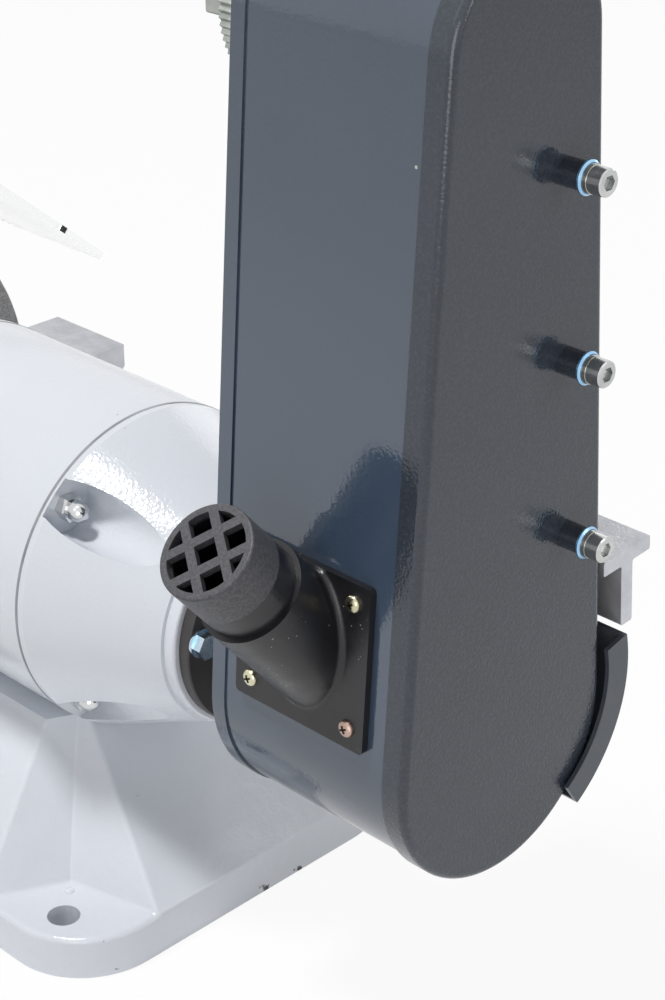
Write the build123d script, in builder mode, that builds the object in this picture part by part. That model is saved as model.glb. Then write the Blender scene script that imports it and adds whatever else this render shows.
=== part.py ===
"""Bench grinder with an upright belt sanding arm, as separate pieces in one frame.

Millimetres. +Z is up, X runs along the motor shaft and the operator stands at -Y.
The origin is the centre of the base's underside, where its four bolts meet the bench.
"""

import os
from math import asin, atan2, cos, hypot, pi, radians, sin, sqrt, tan

from build123d import *

os.makedirs("parts", exist_ok=True)

# Fits shared by many pieces
fit_gap = 0.05
running_gap = 0.06
moving_gap = 0.35
sheet = 1.5

# Base casting
shaft_height = 143.0
base_length = 250.0
base_depth = 200.0
base_corner = 38.0
base_wall = 6.0
skirt_height = 19.0
skirt_draft = 2.0
crest_length = 122.0
crest_depth = 98.0
crest_height = 80.0
crest_roof = 15.0
pad_length = 45.0
pad_depth = 35.0
notch_end_slope = 0.244
notch_side_slope = 0.5
notch_crest_x = 5.7
notch_crest_y = 12.6
bolt_edge_x = 29.0
bolt_edge_y = 18.0
bolt_hole_radius = 7.0
bolt_boss_radius = 13.0
cover_lift = 3.0
cover_thickness = 1.5
cover_post_radius = 5.0
casting_round = 2.5

# Motor
shell_radius = 71.5
shell_wall = 4.0
shell_length = 128.0
bell_length = 67.0
bell_rim = 4.0
bell_wall = 6.5
bell_round = 1.2
spigot_length = 6.0
nose_radius = 46.0
nose_step = 6.0
nose_thickness = 5.0
tie_circle = 63.0
tie_radius = 3.0
pocket_radius = 12.0
pocket_floor = 2.0
dome_nut_flats = 10.0
dome_nut_height = 13.0
stator_length = 70.0
stator_bore = 38.0
winding_radius = 57.0
winding_length = 16.0
air_gap = 0.5
end_play = 0.2
bearing_radius = 23.5
bearing_width = 14.0
shaft_radius = 10.0
rotor_shaft_radius = 12.5
sleeve_radius = 13.0
nose_hole_radius = 14.0
saddle_bolt_radius = 4.0
saddle_bolt_x = 45.0

# Belt arm housing
arm_width = 101.0
neck_length = 32.0
arm_spacing = 262.0
cover_low_radius = 55.5
cover_top_radius = 37.5
cover_plate = 2.0
cover_flange = 10.6
cover_round = 3.0
arm_plate_thickness = 3.0
front_cut_low = -40.0
front_cut_above = 25.0
front_cut_y = -20.0
boss_inset = 20.0
boss_first = 74.0
boss_top_drop = 47.4
boss_count = 3
boss_radius = 5.2
boss_length = 9.0
post_radius = 5.0
screw_radius = 3.0
screw_head_radius = 5.0
screw_head_height = 6.0
socket_flats = 5.0
washer_radius = 6.2
washer_thickness = 1.4
spring_washer_radius = 5.2
spring_washer_thickness = 1.6

# Swivel between motor and arm
neck_radius = 27.0
neck_bore_radius = 18.0
neck_flange_radius = 33.0
neck_flange = 3.0
ring_radius = 43.6
ring_thickness = 6.0
ring_bolt_circle = 37.4
ring_bolt_count = 4
ring_bolt_angle = 10.0
ring_bolt_radius = 3.0
hex_flats = 10.0
hex_height = 4.2

# Belt, its wheels and the platen
belt_width = 75.0
belt_thickness = 1.2
wheel_width = 78.0
drive_radius = 46.5
tyre_thickness = 3.5
idler_radius = 28.5
idler_crown = 0.5
idler_bearing_radius = 17.5
idler_bearing_width = 11.0
axle_radius = 7.5
axle_head = 2.3
axle_shoulder = 4.3
platen_proud = 0.5
platen_sheet = 3.0
platen_nose = 8.0
platen_low = 40.0
platen_top_drop = 40.0
platen_width = 72.0

# Tension block, spring and tracking wheel
tension_travel = 8.0
block_size = 24.0
block_reach = 41.0
tracking_radius = 36.0
tracking_width = 7.0
tracking_teeth = 80
tracking_tooth = 1.1
spring_radius = 6.0
spring_wire = 0.9
spring_turns = 7
spring_length = 34.0
bracket_width = 18.0
bracket_sheet = 3.0

# Dust port
port_plate = 66.0
port_plate_thickness = 3.0
port_screw_pitch = 50.0
port_height = 40.5
port_inset = 52.8
port_lean = 45.0
port_length = 72.0
port_low_radius = 20.5
port_top_radius = 18.5
port_wall = 2.2
port_step = 42.0
cap_skirt = 15.0
cap_face = 3.0
grille_pitch = 11.8
grille_hole = 8.2
grille_turn = 50.0

# Tool rest of the belt
rest_inset = 1.0
rest_flange = 28.0
rest_thickness = 6.3
rest_leg = 6.7
rest_leg_height = 27.0
rest_height = 50.3
rest_gap = 3.0
rest_arm_thickness = 5.0
rest_arm_low = 26.0
rest_travel = 10.0
rest_bolt_radius = 3.0
rest_bolt_near = 40.0
rest_bolt_far = 53.0
rest_arm_end = 22.0

# Spark guard under the belt's rest
guard_centre_y = -7.0
guard_centre_z = 5.8
guard_radius = 61.3
guard_edge = 49.5
guard_sheet = 1.8
guard_start = 166.0
guard_end = 236.0
guard_pivot_y = -32.0
guard_pivot_z = -28.0
guard_ear = 8.0

# Grinding wheel end
wheel_radius = 100.0
wheel_thickness = 25.0
wheel_offset = 16.0
wheel_flange_radius = 38.0
wheel_flange = 6.0
wheel_nut_flats = 24.0
wheel_nut_height = 12.0
thread_radius = 8.0
hood_clearance = 10.0
hood_sheet = 2.0
hood_depth = 62.0
hood_open_top = 132.0
hood_open_low = 205.0
hood_open_radius = 62.0
hood_shaft_hole = 20.0
hood_ear_reach = 4.0
hood_ear_radius = 7.0
hood_ear_angles = (28.0, 96.0, 270.0)
table_gap = 2.0
table_depth = 46.0
table_thickness = 6.0
table_arm = 5.0
table_bolt_inset = 22.0
table_bolt_pitch = 16.0
table_bolt_drop = 52.0
table_travel = 15.0
table_bolt_radius = 3.0
arrester_width = 44.0
arrester_gap = 2.0
arrester_travel = 6.0
arrester_lip = 0.5
shield_width = 84.0
shield_height = 92.0
shield_thickness = 3.0
shield_pin_radius = 3.0
shield_lean = 40.0

# Switch, capacitor and cable gland
switch_width = 62.0
switch_height = 40.0
switch_plate_thickness = 3.0
switch_body_depth = 24.0
button_radius = 8.0
button_pitch = 26.0
button_proud = 4.0
button_travel = 3.0
capacitor_radius = 17.5
capacitor_length = 70.0
gland_radius = 8.0
gland_x = 26.0

# Places worked out from the sizes above
shell_half = shell_length / 2
nose_x = shell_half + bell_length
arm_inner_x = -nose_x - neck_length
arm_outer_x = arm_inner_x - arm_width
arm_middle_x = arm_outer_x + arm_width / 2
band_low_radius = cover_low_radius - sheet
band_top_radius = cover_top_radius - sheet
taper = asin((cover_low_radius - cover_top_radius) / arm_spacing)
taper_cos = cos(taper)
taper_sin = sin(taper)
shaft_axis = Axis((0, 0, shaft_height), (1, 0, 0))
idler_line = Axis((0, 0, shaft_height + arm_spacing), (1, 0, 0))
notch_x = base_length / 2 - pad_length
notch_y = base_depth / 2 - pad_depth
bolt_pitch_x = base_length - 2 * bolt_edge_x
bolt_pitch_y = base_depth - 2 * bolt_edge_y
front_cut_high = arm_spacing + front_cut_above
boss_pitch = (arm_spacing - boss_top_drop - boss_first) / (boss_count - 1)
platen_high = arm_spacing - platen_top_drop
block_end_x = arm_inner_x + block_reach
port_x = arm_outer_x + port_inset
rest_end_x = arm_outer_x + rest_inset
wheel_start_x = nose_x + wheel_offset
hood_radius = wheel_radius + hood_clearance
hood_end_x = nose_x + hood_depth
hood_ear_circle = hood_radius + hood_ear_reach


def write(piece, name):
    """Label a finished piece and write it to its own file."""
    piece.part.label = name
    export_step(piece.part, f"parts/{name}.step")


def shaft_plane(x, y=0.0, z=0.0):
    """Plane across the shaft at x: its own x runs rearward, its own y upward."""
    return Plane(origin=(x, y, shaft_height + z), x_dir=(0, 1, 0), z_dir=(1, 0, 0))


def ring(x, outer, inner=0.0, y=0.0, z=0.0):
    """Disc or ring across the shaft direction, offset from the shaft by y and z."""
    with BuildSketch(shaft_plane(x, y, z)) as face:
        Circle(outer)
        if inner > 0:
            Circle(inner, mode=Mode.SUBTRACT)
    return face.sketch


def hexagon(x, flats, y=0.0, z=0.0):
    """Hexagon across the shaft direction."""
    with BuildSketch(shaft_plane(x, y, z)) as face:
        RegularPolygon(flats / 2, 6, major_radius=False)
    return face.sketch


def turned(points, height=0.0):
    """Half section to turn about the shaft or a line above it, from (x, radius) points."""
    along = Plane(origin=(0, 0, shaft_height + height), x_dir=(1, 0, 0), z_dir=(0, -1, 0))
    with BuildSketch(along) as face:
        with BuildLine():
            Polyline(*points, close=True)
        make_face()
    return face.sketch


def polar(radius, angle):
    """Rearward and upward offsets of a point at an angle from the rear."""
    return radius * cos(radians(angle)), radius * sin(radians(angle))


def tangent_normal(first, second):
    """Outward direction of the outer tangent from one circle (y, z, r) to the next."""
    along_y = second[0] - first[0]
    along_z = second[1] - first[1]
    length = hypot(along_y, along_z)
    along_y, along_z = along_y / length, along_z / length
    lean = (first[2] - second[2]) / length
    across = sqrt(1 - lean * lean)
    return along_y * lean + along_z * across, along_z * lean - along_y * across


def loop_around(x, circles):
    """Face inside a tight loop round circles (y, z, r), listed anticlockwise."""
    count = len(circles)
    normals = [tangent_normal(circles[i], circles[(i + 1) % count]) for i in range(count)]
    with BuildSketch(shaft_plane(x)) as face:
        with BuildLine():
            for i in range(count):
                y, z, r = circles[i]
                next_y, next_z, next_r = circles[(i + 1) % count]
                arrive = atan2(normals[i - 1][1], normals[i - 1][0])
                turn = (atan2(normals[i][1], normals[i][0]) - arrive) % (2 * pi)
                start = (y + r * cos(arrive), z + r * sin(arrive))
                middle = (y + r * cos(arrive + turn / 2), z + r * sin(arrive + turn / 2))
                leave = (y + r * normals[i][0], z + r * normals[i][1])
                ThreePointArc(start, middle, leave)
                Line(leave, (next_y + next_r * normals[i][0], next_z + next_r * normals[i][1]))
        make_face()
    return face.sketch


def arm_outline(x, low, top):
    """Outline of the belt arm: two arcs and the tapered sides between them."""
    return loop_around(x, [(0, 0, low), (0, arm_spacing, top)])


def front_point(height, distance):
    """Rearward and upward offsets of a point along the arm's front face."""
    return -distance * taper_cos + height * taper_sin, distance * taper_sin + height * taper_cos


def front_patch(x, low, high, near, far):
    """Rectangle square to the arm's front face, between two heights and two distances."""
    with BuildSketch(shaft_plane(x)) as face:
        with BuildLine():
            Polyline(
                front_point(low, near),
                front_point(high, near),
                front_point(high, far),
                front_point(low, far),
                close=True,
            )
        make_face()
    return face.sketch


def slot(x, radius, first, last):
    """Round-ended slot across the shaft direction, from one (y, z) centre to another."""
    return loop_around(x, [(*first, radius), (*last, radius)])


def front_opening(x):
    """Region of the arm's front that stays open for the belt."""
    reach = 2 * cover_low_radius
    with BuildSketch(shaft_plane(x)) as face:
        with BuildLine():
            Polyline(
                (-reach, front_cut_low),
                (front_cut_y, front_cut_low),
                (front_cut_y, front_cut_high),
                (-reach, front_cut_high),
                close=True,
            )
        make_face()
    return face.sketch


def notch(corner_x, corner_y, z, grow):
    """Plan of a corner pad's recess, open past the base's corner."""
    reach = base_length
    with BuildSketch(Plane.XY.offset(z)) as face:
        with BuildLine():
            Polyline(
                (corner_x * notch_x, corner_y * notch_y),
                (corner_x * (notch_x + reach), corner_y * (notch_y - notch_end_slope * reach)),
                (corner_x * (notch_x + reach), corner_y * (notch_y + reach)),
                (corner_x * (notch_x - notch_side_slope * reach), corner_y * (notch_y + reach)),
                close=True,
            )
        make_face()
        if grow > 0:
            offset(amount=grow, kind=Kind.INTERSECTION)
    return face.sketch


corners = [(-1, -1), (1, -1), (1, 1), (-1, 1)]


def notch_direction(corner_x, corner_y):
    """Way the walls of a corner recess lean, from the pad up to the crest."""
    lean_x = notch_x - (crest_length / 2 - notch_crest_x)
    lean_y = notch_y - (crest_depth / 2 - notch_crest_y)
    return (-corner_x * lean_x, -corner_y * lean_y, crest_height - skirt_height)


# Base casting: skirted foot, hipped pedestal, four corner pads and a saddle
skirt_inset = skirt_height * tan(radians(skirt_draft))
pedestal_rise = crest_height - skirt_height
end_run = base_length / 2 - skirt_inset - crest_length / 2
side_run = base_depth / 2 - skirt_inset - crest_depth / 2
cavity_floor = skirt_height - base_wall
cavity_top = crest_height - crest_roof
slope_wall = 1.5 * base_wall
post_inset = base_wall + 0.9 * cover_post_radius
cover_top = cover_lift + cover_thickness
cover_posts_at = [
    (base_length / 2 - post_inset, 0),
    (0, base_depth / 2 - post_inset),
    (post_inset - base_length / 2, 0),
    (0, post_inset - base_depth / 2),
]
cover_screw_radius = 1.9
slope_middle_y = (crest_depth + side_run) / 2
slope_middle_z = (skirt_height + crest_height) / 2
front_slope = Plane(
    origin=(0, -slope_middle_y, slope_middle_z), x_dir=(1, 0, 0), z_dir=(0, -pedestal_rise, side_run)
)
rear_slope = Plane(
    origin=(gland_x, slope_middle_y, slope_middle_z), x_dir=(-1, 0, 0), z_dir=(0, pedestal_rise, side_run)
)
switch_rim = 5.0


def pedestal_size(z, inset):
    """Length and depth of the pedestal at a height, less an inset on every side."""
    climb = (z - skirt_height) / pedestal_rise
    length = base_length - 2 * (skirt_inset + climb * end_run + inset)
    depth = base_depth - 2 * (skirt_inset + climb * side_run + inset)
    return length, depth


with BuildPart() as base_cavity:
    with BuildSketch():
        RectangleRounded(base_length - 2 * base_wall, base_depth - 2 * base_wall, base_corner - base_wall)
    extrude(amount=cavity_floor)
    with BuildSketch(Plane.XY.offset(cavity_floor)):
        Rectangle(*pedestal_size(skirt_height, slope_wall))
    extrude(amount=base_wall)
    with BuildSketch(Plane.XY.offset(skirt_height)):
        Rectangle(*pedestal_size(skirt_height, slope_wall))
    with BuildSketch(Plane.XY.offset(cavity_top)):
        Rectangle(*pedestal_size(cavity_top, slope_wall))
    loft(ruled=True)
    for corner in corners:
        extrude(
            notch(*corner, cavity_floor, base_wall),
            amount=base_length,
            dir=notch_direction(*corner),
            mode=Mode.SUBTRACT,
        )

with BuildPart() as base_casting:
    with BuildSketch():
        RectangleRounded(base_length, base_depth, base_corner)
    extrude(amount=skirt_height, taper=skirt_draft)
    with BuildSketch(Plane.XY.offset(skirt_height)):
        Rectangle(*pedestal_size(skirt_height, 0))
    with BuildSketch(Plane.XY.offset(crest_height)):
        Rectangle(crest_length, crest_depth)
    loft(ruled=True)
    for corner in corners:
        extrude(
            notch(*corner, skirt_height, 0),
            amount=base_length,
            dir=notch_direction(*corner),
            mode=Mode.SUBTRACT,
        )
    cast_edges = base_casting.edges().filter_by_position(Axis.Z, skirt_height - 0.1, crest_height - 0.1)
    fillet(cast_edges, casting_round)
    add(base_cavity.part, mode=Mode.SUBTRACT)
    with BuildSketch():
        with GridLocations(bolt_pitch_x, bolt_pitch_y, 2, 2):
            Circle(bolt_boss_radius)
    extrude(amount=cavity_floor)
    with BuildSketch(Plane.XY.offset(cover_top)):
        with Locations(*cover_posts_at):
            Circle(cover_post_radius)
    extrude(amount=skirt_height - cover_top)
    with GridLocations(bolt_pitch_x, bolt_pitch_y, 2, 2):
        Cylinder(bolt_hole_radius, 4 * skirt_height, mode=Mode.SUBTRACT)
    with BuildSketch(Plane.XY.offset(cover_top)):
        with Locations(*cover_posts_at):
            Circle(cover_screw_radius + fit_gap)
    extrude(amount=cavity_floor - cover_top, mode=Mode.SUBTRACT)
    with Locations((0, 0, shaft_height)):
        Cylinder(shell_radius + fit_gap, base_length, rotation=(0, 90, 0), mode=Mode.SUBTRACT)
    with Locations((-saddle_bolt_x, 0, cavity_top), (saddle_bolt_x, 0, cavity_top)):
        Cylinder(saddle_bolt_radius + fit_gap, 2 * crest_roof, mode=Mode.SUBTRACT)
    with BuildSketch(front_slope):
        Rectangle(switch_width - 2 * switch_rim, switch_height - 2 * switch_rim)
    extrude(amount=-1.5 * switch_body_depth, mode=Mode.SUBTRACT)
    with BuildSketch(rear_slope):
        Circle(gland_radius + fit_gap)
    extrude(amount=-1.5 * switch_body_depth, mode=Mode.SUBTRACT)
write(base_casting, "base_casting")

# Base cover: sheet that closes the underside, cut back at the bolt bosses
boss_cut = base_corner + bolt_boss_radius
boss_cut_x = bolt_pitch_x + boss_cut - 2 * (bolt_boss_radius + moving_gap)
boss_cut_y = bolt_pitch_y + boss_cut - 2 * (bolt_boss_radius + moving_gap)
with BuildPart() as base_cover:
    with BuildSketch(Plane.XY.offset(cover_lift)):
        inset = 2 * (base_wall + moving_gap)
        RectangleRounded(base_length - inset, base_depth - inset, base_corner - base_wall)
        with GridLocations(boss_cut_x, boss_cut_y, 2, 2):
            RectangleRounded(boss_cut, boss_cut, bolt_boss_radius, mode=Mode.SUBTRACT)
        with Locations(*cover_posts_at):
            Circle(cover_screw_radius + fit_gap, mode=Mode.SUBTRACT)
    extrude(amount=cover_thickness)
write(base_cover, "base_cover")

with BuildPart() as base_cover_screws:
    with BuildSketch(Plane.XY.offset(cover_lift)):
        with Locations(*cover_posts_at):
            Circle(cover_screw_radius)
    extrude(amount=cavity_floor - cover_lift - 1)
    with BuildSketch(Plane.XY.offset(cover_lift)):
        with Locations(*cover_posts_at):
            Circle(2 * cover_screw_radius)
    extrude(amount=-cover_screw_radius)
write(base_cover_screws, "base_cover_screws")

# Motor shell: plain barrel between the two end bells
shell_bore = shell_radius - shell_wall
saddle_bolts_at = (-saddle_bolt_x, saddle_bolt_x)
with BuildPart() as motor_shell:
    extrude(ring(-shell_half, shell_radius, shell_bore), amount=shell_length)
    rims = motor_shell.edges().filter_by(GeomType.CIRCLE).group_by(SortBy.RADIUS)[-1]
    chamfer(rims, shell_wall / 5)
    with Locations(*[(x, 0, shaft_height - shell_radius) for x in saddle_bolts_at]):
        Cylinder(saddle_bolt_radius + fit_gap, 4 * shell_wall, mode=Mode.SUBTRACT)
write(motor_shell, "motor_shell")

# Saddle bolts: come up through the base's crest and hold the shell down
saddle_bolt_length = shaft_height - shell_bore - cavity_top - 4 * fit_gap
with BuildPart() as saddle_bolts:
    with BuildSketch(Plane.XY.offset(cavity_top)):
        with Locations(*[(x, 0) for x in saddle_bolts_at]):
            Circle(saddle_bolt_radius)
    extrude(amount=saddle_bolt_length)
    with BuildSketch(Plane.XY.offset(cavity_top)):
        with Locations(*[(x, 0) for x in saddle_bolts_at]):
            RegularPolygon(1.6 * saddle_bolt_radius, 6, major_radius=False)
    extrude(amount=-1.3 * saddle_bolt_radius)
write(saddle_bolts, "saddle_bolts")

# Stator: laminated core pressed into the shell, with a winding head at each end
tie_points = [polar(tie_circle, 45 + 90 * i) for i in range(4)]
stator_half = stator_length / 2
with BuildPart() as stator_core:
    extrude(ring(-stator_half, shell_bore - fit_gap, stator_bore), amount=stator_length)
    for y, z in tie_points:
        extrude(
            ring(-stator_half, tie_radius + moving_gap, y=y, z=z), amount=stator_length, mode=Mode.SUBTRACT
        )
write(stator_core, "stator_core")

winding_bore = stator_bore + 3
with BuildPart() as stator_windings:
    for side in (-1, 1):
        extrude(ring(side * stator_half, winding_radius, winding_bore), amount=side * winding_length)
    ends = stator_windings.edges().filter_by(lambda edge: abs(edge.center().X) > stator_half + 1)
    chamfer(ends.filter_by(GeomType.CIRCLE), winding_length / 4)
write(stator_windings, "stator_windings")

# End bells: spigot, rim, cone and nose, with the bearing seat and four nut pockets
rim_end = shell_half + bell_rim
cone_end = nose_x - nose_step
cone_radius = nose_radius + 1.5
cone_slope = (shell_radius - cone_radius) / (cone_end - rim_end)
cone_wall = bell_wall * hypot(1, cone_slope)
spigot_start = shell_half - spigot_length
spigot_radius = shell_bore - fit_gap
spigot_bore = spigot_radius - 3.5
seat_start = nose_x - nose_thickness - bearing_width
seat_end = seat_start + bearing_width
cavity_end_radius = shell_radius - cone_slope * (seat_start - rim_end) - cone_wall
pocket_start = shell_half + pocket_floor
nose_angles = [ring_bolt_angle + 360 / ring_bolt_count * i for i in range(ring_bolt_count)]
nose_points = [polar(ring_bolt_circle, angle) for angle in nose_angles]
nose_bolt_depth = 13.0


def end_bell(side):
    """One end bell; side is -1 at the belt and 1 at the grinding wheel."""
    outside = [
        (side * spigot_start, 0),
        (side * spigot_start, spigot_radius),
        (side * shell_half, spigot_radius),
        (side * shell_half, shell_radius),
        (side * rim_end, shell_radius),
        (side * cone_end, cone_radius),
        (side * cone_end, nose_radius),
        (side * nose_x, nose_radius),
        (side * nose_x, 0),
    ]
    hollow = [
        (side * (spigot_start - 1), 0),
        (side * (spigot_start - 1), spigot_bore),
        (side * rim_end, spigot_bore),
        (side * seat_start, cavity_end_radius),
        (side * seat_start, 0),
    ]
    with BuildPart() as inside:
        revolve(turned(hollow), axis=shaft_axis)
        for y, z in tie_points:
            boss = ring(side * (spigot_start - 1), pocket_radius + 4, y=y, z=z)
            extrude(boss, amount=side * bell_length, mode=Mode.SUBTRACT)
    with BuildPart() as bell:
        revolve(turned(outside), axis=shaft_axis)
        nose = bell.faces().sort_by(Axis.X)[0 if side < 0 else -1]
        fillet(nose.edges(), bell_round)
        add(inside.part, mode=Mode.SUBTRACT)
        extrude(ring(side * seat_start, bearing_radius), amount=side * bearing_width, mode=Mode.SUBTRACT)
        way_out = ring(side * seat_end, nose_hole_radius)
        extrude(way_out, amount=side * 2 * nose_thickness, mode=Mode.SUBTRACT)
        for y, z in tie_points:
            pocket = ring(side * pocket_start, pocket_radius, y=y, z=z)
            extrude(pocket, amount=side * bell_length, mode=Mode.SUBTRACT)
            through = ring(side * (spigot_start - 1), tie_radius + 4 * fit_gap, y=y, z=z)
            extrude(through, amount=side * bell_length, mode=Mode.SUBTRACT)
        for y, z in nose_points:
            hole = ring(side * nose_x, ring_bolt_radius + fit_gap, y=y, z=z)
            extrude(hole, amount=-side * (nose_bolt_depth + 1), mode=Mode.SUBTRACT)
    return bell


write(end_bell(-1), "end_bell_left")
write(end_bell(1), "end_bell_right")

# Tie rods: pull both bells onto the shell, with a domed nut at each end
dome_radius = 0.44 * dome_nut_flats
dome_hex_end = pocket_start + 0.55 * dome_nut_flats
dome_centre = pocket_start + dome_nut_height - dome_radius
tie_end = dome_centre - 1
with BuildPart() as tie_rods:
    for y, z in tie_points:
        extrude(ring(-tie_end, tie_radius, y=y, z=z), amount=2 * tie_end)
write(tie_rods, "tie_rods")

with BuildPart() as dome_nuts:
    for side in (-1, 1):
        for y, z in tie_points:
            flats = hexagon(side * pocket_start, dome_nut_flats, y, z)
            extrude(flats, amount=side * (dome_hex_end - pocket_start))
            collar = ring(side * dome_hex_end, dome_radius, y=y, z=z)
            extrude(collar, amount=side * (dome_centre - dome_hex_end))
            with Locations((side * dome_centre, y, shaft_height + z)):
                Sphere(dome_radius)
            blind = ring(side * pocket_start, tie_radius + fit_gap, y=y, z=z)
            extrude(blind, amount=side * (tie_end + fit_gap - pocket_start), mode=Mode.SUBTRACT)
write(dome_nuts, "dome_nuts")

# Shaft bearings: sealed, one in each bell
with BuildPart() as shaft_bearings:
    for side in (-1, 1):
        outer = bearing_radius - fit_gap
        extrude(ring(side * seat_start, outer, shaft_radius + running_gap), amount=side * bearing_width)
        for face, inward in ((seat_start, 1), (seat_end, -1)):
            seal = ring(side * face, outer - 3, shaft_radius + 3)
            extrude(seal, amount=side * inward * 0.8, mode=Mode.SUBTRACT)
write(shaft_bearings, "shaft_bearings")

# Shaft: thick through the rotor, stepped down to a thread at each end
wheel_inner_x = arm_middle_x + wheel_width / 2
wheel_outer_x = arm_middle_x - wheel_width / 2
hub_outer_x = wheel_outer_x + 12
shoulder_x = seat_start - end_play
flange_x = wheel_start_x - wheel_flange
wheel_end_x = wheel_start_x + wheel_thickness
nut_start_x = wheel_end_x + wheel_flange
shaft_end_x = nut_start_x + wheel_nut_height + 2
with BuildPart() as motor_shaft:
    revolve(
        turned(
            [
                (wheel_outer_x, 0),
                (wheel_outer_x, thread_radius),
                (hub_outer_x, thread_radius),
                (hub_outer_x, shaft_radius),
                (-shoulder_x, shaft_radius),
                (-shoulder_x, rotor_shaft_radius),
                (shoulder_x, rotor_shaft_radius),
                (shoulder_x, shaft_radius),
                (flange_x, shaft_radius),
                (flange_x, thread_radius),
                (shaft_end_x, thread_radius),
                (shaft_end_x, 0),
            ]
        ),
        axis=shaft_axis,
    )
    ends = motor_shaft.edges().filter_by(GeomType.CIRCLE).group_by(Axis.X)
    chamfer(ends[0] + ends[-1], 1)
write(motor_shaft, "motor_shaft")

with BuildPart() as rotor_core:
    extrude(ring(-stator_half, stator_bore - air_gap, rotor_shaft_radius + fit_gap), amount=stator_length)
write(rotor_core, "rotor_core")

# Spacer sleeves: between each bearing and the wheel beyond it
sleeve_start = seat_end + end_play
with BuildPart() as spacer_sleeves:
    extrude(ring(-sleeve_start, sleeve_radius, shaft_radius + fit_gap), amount=wheel_inner_x + sleeve_start)
    extrude(ring(sleeve_start, sleeve_radius, shaft_radius + fit_gap), amount=flange_x - sleeve_start)
write(spacer_sleeves, "spacer_sleeves")

# Drive wheel: rim, web and hub, with a rubber tyre that grips the belt
rim_radius = drive_radius - tyre_thickness
rim_wall = 5.0
hub_radius = 18.0
web_thickness = 8.0
web_hole_count = 5
web_hole_radius = 6.0
with BuildPart() as drive_wheel:
    extrude(ring(wheel_inner_x, rim_radius, rim_radius - rim_wall), amount=-wheel_width)
    extrude(ring(wheel_inner_x, hub_radius), amount=hub_outer_x - wheel_inner_x)
    web_inner = (hub_radius + rim_radius - rim_wall) / 2
    extrude(ring(arm_middle_x + web_thickness / 2, rim_radius - rim_wall / 2), amount=-web_thickness)
    for i in range(web_hole_count):
        y, z = polar(web_inner, 360 / web_hole_count * i)
        extrude(
            ring(wheel_inner_x, web_hole_radius, y=y, z=z), amount=-wheel_width, mode=Mode.SUBTRACT
        )
    extrude(ring(wheel_inner_x, shaft_radius + fit_gap), amount=-wheel_width, mode=Mode.SUBTRACT)
write(drive_wheel, "drive_wheel")

with BuildPart() as drive_tyre:
    extrude(ring(wheel_inner_x, drive_radius, rim_radius + fit_gap), amount=-wheel_width)
    chamfer(drive_tyre.edges().filter_by(GeomType.CIRCLE).group_by(SortBy.RADIUS)[-1], 1)
write(drive_tyre, "drive_tyre")

# Shaft nuts: one with a washer at the drive wheel, one at the grinding wheel
shaft_washer = 2.0
drive_nut_height = 8.0
with BuildPart() as shaft_nuts:
    extrude(ring(hub_outer_x, wheel_nut_flats * 0.67), amount=-shaft_washer)
    extrude(hexagon(hub_outer_x - shaft_washer, wheel_nut_flats), amount=-drive_nut_height)
    extrude(hexagon(nut_start_x, wheel_nut_flats), amount=wheel_nut_height)
    bore = ring(wheel_outer_x, thread_radius + fit_gap)
    extrude(bore, amount=shaft_end_x - wheel_outer_x, mode=Mode.SUBTRACT)
write(shaft_nuts, "shaft_nuts")

# Grinding wheel between two turned flanges; the inner one carries its bore
wheel_bore = 16.0
with BuildPart() as grinding_wheel:
    extrude(ring(wheel_start_x, wheel_radius, wheel_bore), amount=wheel_thickness)
    chamfer(grinding_wheel.edges().filter_by(GeomType.CIRCLE).group_by(SortBy.RADIUS)[-1], 1)
write(grinding_wheel, "grinding_wheel")

with BuildPart() as wheel_flanges:
    extrude(ring(flange_x, wheel_flange_radius), amount=wheel_flange)
    extrude(ring(wheel_start_x, wheel_bore - fit_gap), amount=0.45 * wheel_thickness)
    extrude(ring(wheel_end_x, wheel_flange_radius), amount=wheel_flange)
    extrude(ring(flange_x, thread_radius + fit_gap), amount=nut_start_x - flange_x, mode=Mode.SUBTRACT)
    for face, away in ((wheel_start_x, -1), (wheel_end_x, 1)):
        relief = ring(face, 0.75 * wheel_flange_radius, wheel_bore)
        extrude(relief, amount=away * wheel_flange / 5, mode=Mode.SUBTRACT)
write(wheel_flanges, "wheel_flanges")

# Clamp ring: bolted to the left nose, holds the neck's flange and lets it turn
ring_outer_x = -nose_x - ring_thickness
ring_recess = neck_flange + 2 * fit_gap
with BuildPart() as clamp_ring:
    extrude(ring(-nose_x, ring_radius, neck_radius + running_gap), amount=-ring_thickness)
    chamfer(clamp_ring.edges().filter_by(GeomType.CIRCLE).group_by(SortBy.RADIUS)[-1], 0.6)
    extrude(ring(-nose_x, neck_flange_radius + 2 * fit_gap), amount=-ring_recess, mode=Mode.SUBTRACT)
    for y, z in nose_points:
        hole = ring(-nose_x, ring_bolt_radius + 2 * fit_gap, y=y, z=z)
        extrude(hole, amount=-ring_thickness, mode=Mode.SUBTRACT)
write(clamp_ring, "clamp_ring")

# Swivel neck: tube with a flange in the clamp ring and one against the arm
neck_start_x = -nose_x - fit_gap
neck_screw_circle = (neck_radius + neck_flange_radius) / 2
neck_screw_radius = 1.5
neck_screw_points = [polar(neck_screw_circle, 90 * i) for i in range(4)]
with BuildPart() as swivel_neck:
    extrude(ring(neck_start_x, neck_flange_radius), amount=-neck_flange)
    extrude(ring(neck_start_x, neck_radius), amount=arm_inner_x - neck_start_x)
    extrude(ring(arm_inner_x, neck_flange_radius), amount=neck_flange)
    extrude(ring(neck_start_x, neck_bore_radius), amount=arm_inner_x - neck_start_x, mode=Mode.SUBTRACT)
    for y, z in neck_screw_points:
        hole = ring(arm_inner_x, neck_screw_radius + fit_gap, y=y, z=z)
        extrude(hole, amount=neck_flange, mode=Mode.SUBTRACT)
write(swivel_neck, "swivel_neck")

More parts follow.
